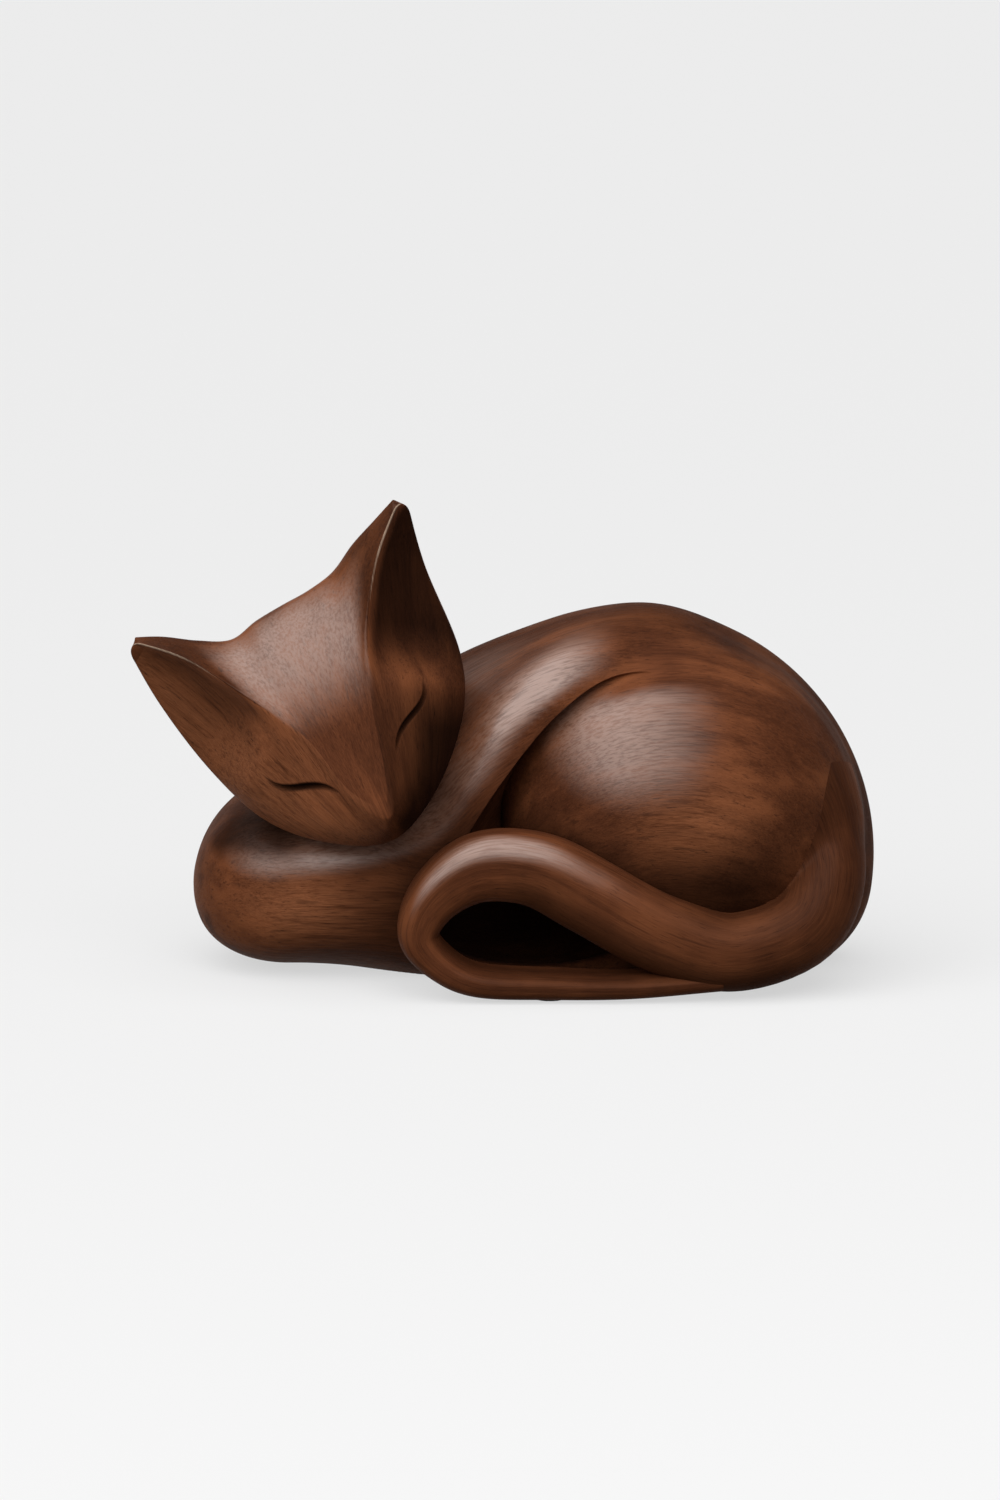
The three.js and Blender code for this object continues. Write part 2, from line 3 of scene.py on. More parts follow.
import bpy
import numpy as np
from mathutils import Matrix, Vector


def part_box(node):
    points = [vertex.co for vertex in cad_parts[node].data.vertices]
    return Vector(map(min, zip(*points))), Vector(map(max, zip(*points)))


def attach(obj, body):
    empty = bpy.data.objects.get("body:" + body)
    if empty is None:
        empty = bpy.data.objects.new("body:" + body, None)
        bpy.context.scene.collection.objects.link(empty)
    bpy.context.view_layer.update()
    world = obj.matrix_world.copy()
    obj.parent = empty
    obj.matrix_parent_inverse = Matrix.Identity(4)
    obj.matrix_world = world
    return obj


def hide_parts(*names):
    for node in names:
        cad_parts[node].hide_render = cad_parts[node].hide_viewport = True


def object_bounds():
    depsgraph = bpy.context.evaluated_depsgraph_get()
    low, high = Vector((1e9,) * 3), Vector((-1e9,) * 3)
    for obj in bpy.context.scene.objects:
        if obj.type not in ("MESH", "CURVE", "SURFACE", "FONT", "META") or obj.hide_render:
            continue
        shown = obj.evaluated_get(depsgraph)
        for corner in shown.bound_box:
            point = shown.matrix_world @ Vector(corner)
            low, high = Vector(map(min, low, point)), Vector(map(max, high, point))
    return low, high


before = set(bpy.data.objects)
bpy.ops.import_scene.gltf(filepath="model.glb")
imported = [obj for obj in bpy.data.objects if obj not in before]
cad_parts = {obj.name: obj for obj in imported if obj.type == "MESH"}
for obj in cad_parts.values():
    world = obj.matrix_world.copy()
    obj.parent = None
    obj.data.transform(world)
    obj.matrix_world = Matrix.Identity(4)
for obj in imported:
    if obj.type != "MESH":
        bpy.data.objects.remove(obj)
cadLow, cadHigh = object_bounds()

# The carving is drawn in millimetres about its own middle; unit and shift take it into the frame
carving = {"width": 299.256, "shift": (-2.372, -8.843, 0.0), "base": 0.8}
unit = (cadHigh.x - cadLow.x) / carving["width"]


# Small maths on whole arrays

def vec(*parts):
    return np.array(parts, float)


def between(a, b, w):
    return a + (b - a) * w


def ease(low, high, value):  # 0 below low, 1 above high, smooth in between
    w = np.clip((value - low) / (high - low), 0.0, 1.0)
    return w * w * (3.0 - 2.0 * w)


def unitLength(v):
    return v / np.maximum(np.linalg.norm(v, axis=-1, keepdims=True), 1e-12)


def splineAt(points, at):
    # Catmull-Rom: cubics whose slope at a point is half the step between its two neighbours
    p = np.asarray(points, float)
    p = np.vstack([2 * p[0] - p[1], p, 2 * p[-1] - p[-2]])
    s = np.clip(at, 0.0, 1.0) * (len(points) - 1)
    i = np.minimum(s.astype(int), len(points) - 2)
    f = (s - i)[..., None]
    a, b, c, d = p[i], p[i + 1], p[i + 2], p[i + 3]
    return 0.5 * (2 * b + (c - a) * f + (2 * a - 5 * b + 4 * c - d) * f**2 + (3 * b - 3 * c + d - a) * f**3)


def bezierAt(p0, p1, p2, p3, w):
    # cubic Bezier for every section (rows) at every share w (columns)
    w = w[None, :, None]
    p0, p1, p2, p3 = (p[:, None, :] for p in (p0, p1, p2, p3))
    return (1 - w) ** 3 * p0 + 3 * w * (1 - w) ** 2 * p1 + 3 * w**2 * (1 - w) * p2 + w**3 * p3


def gridNormals(grid):
    # cross product of the steps round a section and along the piece; sections are closed
    turned = np.roll(grid, -1, axis=1) - np.roll(grid, 1, axis=1)
    return unitLength(np.cross(turned, np.gradient(grid, axis=0)))


def nearestOnLine(p, line):
    # distance from points to a polyline, where along it (0 to 1) and the foot of the perpendicular
    best = np.full(p.shape[:-1], 1e9)
    at = np.zeros(p.shape[:-1])
    foot = np.zeros(p.shape)
    for k in range(len(line) - 1):
        step = line[k + 1] - line[k]
        w = np.clip(((p - line[k]) @ step) / (step @ step), 0.0, 1.0)
        q = line[k] + w[..., None] * step
        far = np.linalg.norm(p - q, axis=-1)
        nearer = far < best
        best = np.where(nearer, far, best)
        at = np.where(nearer, (k + w) / (len(line) - 1), at)
        foot = np.where(nearer[..., None], q, foot)
    return best, at, foot


def turns(count):
    return np.linspace(0, 2 * np.pi, count, endpoint=False)


# Meshes

def placed(points):
    return (np.asarray(points) + vec(*carving["shift"])) * unit


def skinMesh(name, grid, ends):
    # closed sections joined by quads, and a fan of triangles to the point that closes each end
    rows, columns = grid.shape[:2]
    i, j = np.meshgrid(np.arange(rows - 1), np.arange(columns), indexing="ij")
    k = (j + 1) % columns
    quads = np.stack([i * columns + j, i * columns + k, (i + 1) * columns + k, (i + 1) * columns + j], -1)
    j, tip, last = np.arange(columns), np.full(columns, rows * columns), (rows - 1) * columns
    k = (j + 1) % columns
    fans = np.vstack([np.stack([tip, k, j], -1), np.stack([tip + 1, last + j, last + k], -1)])
    mesh = bpy.data.meshes.new(name)
    points = np.vstack([grid.reshape(-1, 3), np.asarray(ends).reshape(2, 3)])
    mesh.from_pydata(placed(points), [], quads.reshape(-1, 4).tolist() + fans.tolist())
    return mesh


def ended(value):
    # a grid of values as a flat list, with the mean of the first and last sections for the end points
    rows, columns = value.shape[:2]
    flat = value.reshape(rows * columns, -1)
    return np.vstack([flat, flat[:columns].mean(0), flat[-columns:].mean(0)])


def marked(mesh, key, values, domain="POINT"):
    vector = values.ndim == 2 and values.shape[1] == 3
    layer = mesh.attributes.new(key, "FLOAT_VECTOR" if vector else "FLOAT", domain)
    layer.data.foreach_set("vector" if vector else "value", np.ascontiguousarray(values, np.float32).ravel())


# the way a face must look to take the coat's gloss and the painted highlight
highlightFacing = {"towards": (-0.18, -0.73, 0.66), "from": 0.80}


def glossAndPaintedHighlight(mesh):
    # the coat's gloss and a painted highlight go on the faces that look up and out towards the viewer, where
    # the key lamp's highlight falls
    flat = np.empty(len(mesh.loops) * 3, np.float32)
    mesh.corner_normals.foreach_get("vector", flat)
    facing = flat.reshape(-1, 3) @ unitLength(vec(*highlightFacing["towards"]))
    marked(mesh, "glossAndPaintedHighlightMask", ease(highlightFacing["from"], 1.0, facing), "CORNER")


def shown(name, mesh, sharpAngle=50.0):
    mesh.shade_smooth()
    mesh.set_sharp_from_angle(angle=math.radians(sharpAngle))
    piece = bpy.data.objects.new(name, mesh)
    bpy.context.collection.objects.link(piece)
    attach(piece, "root")
    print(name, len(mesh.polygons), "faces")
    return piece


def combined(name, first, steps):
    # joins meshes to the first one or cuts them from it, in turn
    base = bpy.data.objects.new(name, first)
    bpy.context.collection.objects.link(base)
    for operation, mesh in steps:
        other = bpy.data.objects.new(name + operation, mesh)
        bpy.context.collection.objects.link(other)
        step = base.modifiers.new(operation, "BOOLEAN")
        step.object, step.operation, step.solver = other, operation, "MANIFOLD"
    made = bpy.data.meshes.new_from_object(base.evaluated_get(bpy.context.evaluated_depsgraph_get()))
    for thing in [step.object for step in base.modifiers] + [base]:
        bpy.data.objects.remove(thing)
    return made


def meshPoints(mesh):
    # the points of a mesh, back in the carving's millimetres
    flat = np.empty(len(mesh.vertices) * 3)
    mesh.vertices.foreach_get("co", flat)
    return flat.reshape(-1, 3) / unit - vec(*carving["shift"])


# Trunk: the masses that body and forelegs are carved from

trunk = {
    "back": ((52, 22, 45), (100, 52, 101.5)),
    "shoulder": ((-8, 28, 40), (58, 47, 77)),
    "chest": ((-60, 34, 44), (54, 38, 38)),
    "roll": ((-50, 25, 31.5), (39, 48, 36)),
    "rollStraight": 70, "rollSquareness": (2.0, 2.8), "rollSquareFrom": (-0.25, 0.35),
    "haunch": ((71, -8, 67), (70, 47, 66)), "haunchDome": 0.72, "haunchInset": 0.5,
    "shoulderBlend": 30, "chestBlend": 30, "rollBlend": 16, "bandBlend": 34, "rumpBlend": 18, "creaseBlend": 2,
    "creaseStart": 30, "creaseEnd": 60, "rumpEnd": 100, "rumpFade": 30,
    "baseRounding": 26, "rumpRounding": 42, "rumpRound": (40, 140),
    "seam": -36.02, "seamGap": 0.02,
    "band": [(-92, 6, 38), (-66, -8.5, 43), (-42, -10, 50.5), (-19, -15, 61), (-1.5, -19, 84),
             (9, -18.5, 105), (25, -13.5, 119), (42, -6, 125), (60, 4, 127)],
    "bandRadius": 8,
}

# The crease between band and haunch is cut by a wedge: middle line, half width and half depth
crease = {
    "line": [(-8, -30, 42), (-0.1, -30, 57), (8.4, -30, 72.7), (17.1, -30, 88), (26.5, -29, 102.5),
             (35.9, -26, 114.2), (45.5, -25, 121.3), (57.4, -25.5, 126.4), (66, -25.5, 129), (76, -25, 130)],
    "widths": [(14, 26), (14, 26), (13, 26), (11, 26), (8.5, 22), (5.5, 13), (4, 8), (3, 5), (2, 3), (1, 2)],
    "steps": 140, "sides": 40,
}
loopHollow = {"centre": (14, -22, 30), "radii": (46, 26, 21), "rows": 40, "sides": 64}

tail = {
    "line": [(116, 4, 84), (129, -9, 62), (130, -25, 41.5), (119, -38, 25.5), (92, -46, 18.3), (65, -47, 26),
             (36, -46.5, 41.5), (14, -46, 52), (-8, -45.5, 52.5), (-25, -45.5, 41.5), (-32, -45.5, 26),
             (-23, -45.5, 14), (-8, -46, 7.2), (20, -46, 5.8), (52, -46, 5.6), (88, -45, 8)],
    "sizes": [(0.95, 0.95, 2), (0.98, 0.98, 2), (1, 1, 2), (1, 1, 2), (1, 1, 2.1), (1.04, 1, 2.2),
              (1.02, 0.98, 2.3), (0.95, 0.96, 2.4), (0.88, 0.95, 2.5), (0.7, 0.94, 2.6), (0.53, 0.94, 2.8),
              (0.44, 0.94, 2.8), (0.38, 0.94, 2.8), (0.35, 0.92, 2.8), (0.32, 0.9, 2.6), (0.3, 0.84, 2.4)],
    "thickness": 31, "depth": 31,
    "rootStart": 0.03, "rootMerge": 0.2, "rootEnd": 0.3, "rootSpan": 0.45, "sink": 0.25,
    "rootBlend": (13, 0.6), "rootFade": (0.03, 0.17), "rootReach": (30, 16.5), "rootNarrow": (0.05, 0.15),
    "steps": 420, "sides": 96,
}


def eggDistance(p, egg):
    # k is the share of the way to the skin; (k - 1) over its slope is close to the distance
    centre, radii = np.asarray(egg, float)
    q = (p - centre) / radii
    k = np.linalg.norm(q, axis=-1)
    return k * (k - 1) / np.maximum(np.linalg.norm(q / radii, axis=-1), 1e-9)


def haunchDistance(p):
    # an egg whose near side is a softer dome: y to the power 1 / haunchDome in place of its square
    centre, radii = np.asarray(trunk["haunch"], float)
    power = 1 / trunk["haunchDome"]
    q = (p - centre) / radii
    near = q[..., 1] < 0
    y = np.abs(q[..., 1])
    term = np.where(near, y**power, y**2)
    slope = np.where(near, power * np.maximum(y, 0.02) ** (power - 1), 2 * y) / radii[1]
    level = q[..., 0] ** 2 + q[..., 2] ** 2 + term
    rise = np.sqrt((2 * q[..., 0] / radii[0]) ** 2 + (2 * q[..., 2] / radii[2]) ** 2 + slope**2)
    return (level - 1) / np.maximum(rise, 1e-6)


def rollDistance(p):
    # an egg drawn out along X; the upper half of its section is a rounded box, |y|^n + |z|^n
    centre, radii = np.asarray(trunk["roll"], float)
    half = trunk["rollStraight"] / 2
    q = p - centre
    q[..., 0] -= np.clip(q[..., 0], -half, half)
    q = q / radii
    n = between(*trunk["rollSquareness"], ease(*trunk["rollSquareFrom"], q[..., 2]))
    q = np.abs(q)
    m = np.maximum((q[..., 1] ** n + q[..., 2] ** n) ** (1 / n), 1e-6)
    k = np.hypot(q[..., 0], m)
    side = (q[..., 1:] / m[..., None]) ** (n - 1)[..., None] * (m / k)[..., None] / radii[1:]
    slope = np.sqrt((q[..., 0] / k / radii[0]) ** 2 + (side**2).sum(-1))
    return (k - 1) / np.maximum(slope, 1e-6)


def joined(a, b, width):
    # the nearer of two distances, with a fillet of the given width
    w = np.maximum(width - np.abs(a - b), 0.0) / width
    return np.minimum(a, b) - w * w * width / 4


bandLine = splineAt(trunk["band"], np.linspace(0, 1, 33))


def trunkDistance(p):
    # eggs joined by fillets; the one between flank and haunch widens from the crease towards the rump
    flank = joined(eggDistance(p, trunk["back"]), eggDistance(p, trunk["shoulder"]), trunk["shoulderBlend"])
    flank = joined(flank, eggDistance(p, trunk["chest"]), trunk["chestBlend"])
    flank = joined(flank, rollDistance(p), trunk["rollBlend"])
    flank = joined(flank, nearestOnLine(p, bandLine)[0] - trunk["bandRadius"], trunk["bandBlend"])
    filled = ease(trunk["creaseStart"], trunk["rumpEnd"], p[..., 0])
    filled = filled * (1 - ease(0, trunk["rumpFade"], p[..., 1]))
    width = between(trunk["creaseBlend"], trunk["rumpBlend"], filled)
    rump = joined(flank, haunchDistance(p) + trunk["haunchInset"], width)
    whole = between(flank, rump, ease(trunk["creaseStart"], trunk["creaseEnd"], p[..., 0]))
    rounding = between(trunk["baseRounding"], trunk["rumpRounding"], ease(*trunk["rumpRound"], p[..., 0]))
    return -joined(-whole, p[..., 2] - carving["base"] + rounding / 4, rounding)


def reach(origin, way, far=230.0, halvings=19):
    # halves the stretch from inside to outside until the skin is found, on all rays at once
    low = np.zeros(way.shape[:-1])
    high = np.full(way.shape[:-1], far)
    for _ in range(halvings):
        half = (low + high) / 2
        outside = trunkDistance(origin + way * half[..., None]) > 0
        high = np.where(outside, half, high)
        low = np.where(outside, low, half)
    return low


rollHeart = vec(*trunk["roll"][0])
backHeart = vec(*trunk["back"][0])
leftEnd = rollHeart - reach(rollHeart, vec(-1, 0, 0)[None])[0] * vec(1, 0, 0)
rightEnd = backHeart + reach(backHeart, vec(1, 0, 0)[None])[0] * vec(1, 0, 0)


def trunkSections(x, sides):
    # closed sections square to X, about the line from the heart of the forelegs to the heart of the back
    heart = between(leftEnd, rightEnd, ((x - leftEnd[0]) / (rightEnd[0] - leftEnd[0]))[:, None])
    turn = turns(sides)
    way = np.stack([np.zeros(sides), np.cos(turn), np.sin(turn)], -1)[None].repeat(len(x), 0)
    grid = heart[:, None, :] + way * reach(heart[:, None, :], way)[..., None]
    grid[..., 2] = np.maximum(grid[..., 2], carving["base"])
    return grid, heart


def eggMesh(name, centre, radii, rows, sides, dome=0.5):
    # sections round the Y axis, from the point nearest the viewer to the far one; dome softens the near side
    tilt = np.linspace(0, np.pi, rows + 2)[1:-1, None]
    swing = turns(sides)[None]
    deep = np.where(tilt < np.pi / 2, -np.abs(np.cos(tilt)) ** (2 * dome), -np.cos(tilt))
    ball = np.stack([np.sin(tilt) * np.sin(swing), deep + 0 * swing, np.sin(tilt) * np.cos(swing)], -1)
    pole = vec(0, radii[1], 0)
    return skinMesh(name, vec(*centre) + vec(*radii) * ball, [vec(*centre) - pole, vec(*centre) + pole])


def creaseMesh():
    # an oval section, wide at the foot and closing upwards, carried along the crease
    at = np.linspace(0, 1, crease["steps"])
    place = splineAt(crease["line"], at)
    size = splineAt(crease["widths"], at)
    across = unitLength(np.cross(unitLength(np.gradient(place, axis=0)), vec(0, 1, 0)))
    turn = turns(crease["sides"])
    grid = (place[:, None] + (np.sin(turn) * size[:, :1])[..., None] * across[:, None]
            + (np.cos(turn) * size[:, 1:])[..., None] * vec(0, 1, 0))
    return skinMesh("crease", grid, [place[0], place[-1]])


tailLine = splineAt(tail["line"], np.linspace(0, 1, 121))
creaseLine = splineAt(crease["line"], np.linspace(0, 1, 41))
flow = {"centre": (70, -10), "radius": 120, "rollAlong": -75, "rollAcross": 50,
        "turn": (-45, 20), "lean": 0.6, "level": 40}


# Where painted shade darkens the wood: each pair is where it sets in and where it is full, or the two ends of a
# range
paintedShade = {
    "backSide": (-22, 4), "backFrom": (20, 70), "backShade": (0.35, 0.55),
    "creaseWidth": 6.0, "creaseFade": (0.25, 0.55), "creaseSide": (-26, -16),
    "tailShade": 0.8, "tailFade": 14.0, "tailFrom": (0.17, 0.32),
    "hollowRim": (0.2, 3.0),
    "jawSpan": (0.15, 0.85), "jawLeft": (0.35, 0.6), "jawGap": 2,
    "jawWidth": (2.5, 9.0), "jawShade": (0.2, 0.75),
    "rollShade": 0.9, "rollTop": (44, 56), "rollLeft": (-88, -66), "nearSide": (-5, 20),
    "footShade": 0.85, "footTop": (40, 76), "footFrom": (25, 60), "footTo": (95, 122),
}

# Where the trunk takes coat gloss and a painted highlight; a warm spot of painted light has its middle in x and
# z, its two widths and its strength
sheen = {
    "backFrom": (15, 50), "backTop": (108, 120), "backSide": (-33, -25),
    "flankHighlight": 0.9, "flankTo": (45, 95), "bandHighlight": 0.8, "bandWidth": 16.0, "bandTo": (20, 45),
    "warmSpots": ((-78, 30, 26, 16, 1.0), (76, 72, 22, 17, 0.55)), "warmSide": (-30, -5),
}


def backShade(p):  # painted shade, deeper on the back and the rump
    deeper = between(*paintedShade["backShade"], ease(*paintedShade["backFrom"], p[..., 0]))
    return ease(*paintedShade["backSide"], p[..., 1]) * deeper


def trunkDark(p):
    # painted shade in the crease, by the tail, in the loop, under the jaw, on the roll's top, on the back and
    # at the haunch's foot
    x, y, z = p.T
    far, at, _ = nearestOnLine(p, creaseLine)
    inCrease = np.exp(-(far / paintedShade["creaseWidth"]) ** 2)
    inCrease = inCrease * (1 - ease(*paintedShade["creaseFade"], at)) * ease(*paintedShade["creaseSide"], y)
    far, at, _ = nearestOnLine(p, tailLine)
    byTail = np.exp(-np.maximum(far - tail["thickness"] / 2, 0) / paintedShade["tailFade"])
    byTail = paintedShade["tailShade"] * byTail * ease(*paintedShade["tailFrom"], at)
    inLoop = 1 - ease(*paintedShade["hollowRim"], eggDistance(p, (loopHollow["centre"], loopHollow["radii"])))
    jawLine = headPlaced(headLine("jawLeft", "jawRight", 1, np.linspace(*paintedShade["jawSpan"], 61)))
    far, at, _ = nearestOnLine(p, jawLine)
    left = 1 - ease(*paintedShade["jawLeft"], at)
    underJaw = np.exp(-(np.maximum(far - paintedShade["jawGap"], 0) / between(*paintedShade["jawWidth"], left)) ** 2)
    underJaw = underJaw * between(*paintedShade["jawShade"], left)
    rollTop = paintedShade["rollShade"] * ease(*paintedShade["rollTop"], z) * (1 - ease(*paintedShade["rollLeft"], x))
    onRoll = np.maximum(underJaw, rollTop) * (1 - ease(*paintedShade["nearSide"], y))
    foot = paintedShade["footShade"] * (1 - ease(*paintedShade["footTop"], z))
    foot = foot * ease(*paintedShade["footFrom"], x) * (1 - ease(*paintedShade["footTo"], x))
    return np.max([inCrease, byTail, inLoop, onRoll, backShade(p), foot], axis=0)


def trunkMarks(mesh):
    # grain lies level in the forelegs and bends into arcs about a point under the haunch
    p = meshPoints(mesh)
    x, y, z = p.T
    right, up = x - flow["centre"][0], z - flow["centre"][1]
    turned = ease(*flow["turn"], x + flow["lean"] * (z - flow["level"]))
    along = between(x + flow["rollAlong"], np.arctan2(right, up) * flow["radius"], turned)
    across = between(z + flow["rollAcross"], np.hypot(right, up), turned)
    marked(mesh, "grain", np.stack([along, across, y], -1))
    marked(mesh, "dark", trunkDark(p))
    marked(mesh, "wear", 0 * x)

    # coat gloss and a painted highlight reach the forelegs, the flank and the band, and less of the back
    onBack = ease(*sheen["backFrom"], x) * ease(*sheen["backTop"], z) * ease(*sheen["backSide"], y)
    onFlank = (1 - ease(*sheen["flankTo"], x)) * (1 - onBack)
    onBand = np.exp(-(nearestOnLine(p, bandLine)[0] / sheen["bandWidth"]) ** 2)
    onBand = onBand * (1 - ease(*sheen["bandTo"], x))
    marked(mesh, "glossAndPaintedHighlightAmount", sheen["flankHighlight"] * onFlank + sheen["bandHighlight"] * onBand)
    # painted warm light: lighter, warmer patches on the front of the forelegs and the haunch
    warm = 0 * x
    for middleX, middleZ, wide, high, strength in sheen["warmSpots"]:
        warm = warm + strength * np.exp(-((x - middleX) / wide) ** 2 - ((z - middleZ) / high) ** 2)
    marked(mesh, "warmPaintedLight", warm * (1 - ease(*sheen["warmSide"], y)))


body = {"steps": 200, "sides": 280, "haunchRows": 130, "haunchSides": 200, "sharpAngle": 35.0}


def makeBody():
    share = np.sin(np.pi / 2 * np.linspace(0, 1, body["steps"], endpoint=False))
    grid, heart = trunkSections(between(trunk["seam"] + trunk["seamGap"], rightEnd[0], share), body["sides"])
    flank = skinMesh("flank", grid, [heart[0], rightEnd])
    haunch = eggMesh("haunch", *trunk["haunch"], body["haunchRows"], body["haunchSides"], trunk["haunchDome"])
    hollow = eggMesh("hollow", *(loopHollow[key] for key in ("centre", "radii", "rows", "sides")))
    cuts = [("DIFFERENCE", creaseMesh()), ("UNION", haunch), ("DIFFERENCE", hollow)]
    mesh = combined("cat_body", flank, cuts)
    trunkMarks(mesh)
    return shown("cat_body", mesh, body["sharpAngle"])


forelegs = {"steps": 96, "sides": 280}


def makeForelegs():
    share = 1 - np.cos(np.pi / 2 * np.linspace(0, 1, forelegs["steps"] + 1)[1:])
    grid, heart = trunkSections(between(leftEnd[0], trunk["seam"], share), forelegs["sides"])
    mesh = skinMesh("cat_forelegs", grid, [leftEnd, heart[-1]])
    trunkMarks(mesh)
    return shown("cat_forelegs", mesh)


def rootReach(place, way):
    # how far the tail's skin lies from its line near the rump, with a fillet; steps out of the wood
    steps = np.linspace(0, tail["rootReach"][0], 31)
    p = place[:, None, None] + way[:, :, None] * steps[:, None]
    far, along, _ = nearestOnLine(p, splineAt(tail["line"], np.linspace(0, tail["rootSpan"], 41)))
    along = along * tail["rootSpan"]
    radius = splineAt(tail["sizes"], along)[..., 0] * tail["thickness"] / 2
    rump = np.minimum(trunkDistance(p), haunchDistance(p)) + tail["sink"]
    depth = joined(far - radius, rump, between(*tail["rootBlend"], ease(*tail["rootFade"], along)))
    limit = between(*tail["rootReach"], ease(*tail["rootNarrow"], along))
    depth = np.where(steps > limit, 1e-3, depth)
    inside = (depth <= 0).all(-1)
    first = np.where(inside, len(steps) - 1, np.maximum(np.argmax(depth > 0, -1), 1))[..., None]
    a = np.take_along_axis(depth, first - 1, -1)[..., 0]
    b = np.take_along_axis(depth, first, -1)[..., 0]
    share = np.where(inside, 1.0, -a / np.maximum(b - a, 1e-9))
    return steps[first[..., 0] - 1] + share * (steps[1] - steps[0])


# painted shade, a painted highlight with coat gloss, and grain for the tail
tailPaintedLightAndGrain = {
    "innerShade": 0.3, "innerSide": (0.35, 0.95), "innerFrom": (0.5, 0.6),
    "lowShade": 0.75, "lowSide": (-0.5, 0.7), "lowFrom": (0.14, 0.26), "lowTo": (0.45, 0.55),
    "rootShade": 0.4, "rootTo": (0.3, 0.42), "underShade": 0.5, "underFrom": (0.74, 0.86),
    "highlightLeast": 0.04, "highlightFrom": (0.36, 0.46), "highlightTo": (0.58, 0.68), "grainStart": 900, "grainRadius": 14,
}


def tailMarks(mesh, grid, at, turn, run):
    # grain runs along the tail; painted shade on its inner faces, its low side, its root and its lower run
    at, s, ones = at[:, None], np.sin(turn)[None], np.ones(grid.shape[:2])
    along = run[:, None] * ones + tailPaintedLightAndGrain["grainStart"]
    marked(mesh, "grain", ended(np.stack([along, turn * tailPaintedLightAndGrain["grainRadius"] * ones, 0 * ones], -1)))
    inner = ease(*tailPaintedLightAndGrain["innerSide"], np.abs(s)) * ease(*tailPaintedLightAndGrain["innerFrom"], at)
    inner = tailPaintedLightAndGrain["innerShade"] * inner
    low = ease(*tailPaintedLightAndGrain["lowFrom"], at) - ease(*tailPaintedLightAndGrain["lowTo"], at)
    low = tailPaintedLightAndGrain["lowShade"] * low * ease(*tailPaintedLightAndGrain["lowSide"], s)
    root = tailPaintedLightAndGrain["rootShade"] * (1 - ease(*tailPaintedLightAndGrain["rootTo"], at)) * ones
    under = tailPaintedLightAndGrain["underShade"] * ease(*tailPaintedLightAndGrain["underFrom"], at) * ones
    marked(mesh, "dark", ended(np.max([inner, low, root, under, backShade(grid)], axis=0))[:, 0])
    # coat gloss and a painted highlight on the loop
    onLoop = ease(*tailPaintedLightAndGrain["highlightFrom"], at) * (1 - ease(*tailPaintedLightAndGrain["highlightTo"], at))
    marked(mesh, "glossAndPaintedHighlightAmount", ended(between(tailPaintedLightAndGrain["highlightLeast"], 1.0, onLoop) * ones)[:, 0])
    for key in ("wear", "warmPaintedLight"):
        marked(mesh, key, ended(0 * ones)[:, 0])


def makeTail():
    # a rounded box section, |c|^n + |s|^n, carried along the tail's line; its root spreads into the rump
    at = np.linspace(tail["rootStart"], 1, tail["steps"])
    place = splineAt(tail["line"], at)
    size = splineAt(tail["sizes"], at)
    along = unitLength(np.gradient(place, axis=0))
    across = unitLength(np.cross(along, vec(0, 1, 0)))
    deep = unitLength(np.cross(across, along))
    turn = turns(tail["sides"])
    c, s, n = np.cos(turn)[None], np.sin(turn)[None], size[:, 2:3]
    bulge = (np.abs(c) ** n + np.abs(s) ** n) ** (-1 / n)
    offset = ((c * bulge * size[:, 1:2] * tail["depth"] / 2)[..., None] * deep[:, None]
              + (s * bulge * size[:, 0:1] * tail["thickness"] / 2)[..., None] * across[:, None])
    root = at < tail["rootEnd"]
    way = unitLength(offset[root])
    spreading = way * rootReach(place[root], way)[..., None]
    merged = ease(tail["rootMerge"], tail["rootEnd"], at[root])[:, None, None]
    offset[root] = between(spreading, offset[root], merged)
    grid = place[:, None] + offset
    grid[..., 2] = np.maximum(grid[..., 2], carving["base"])
    mesh = skinMesh("cat_tail", grid, [place[0], place[-1]])
    run = np.concatenate([[0], np.cumsum(np.linalg.norm(np.diff(place, axis=0), axis=-1))])
    tailMarks(mesh, grid, at, turn, run)
    return shown("cat_tail", mesh)


# Head

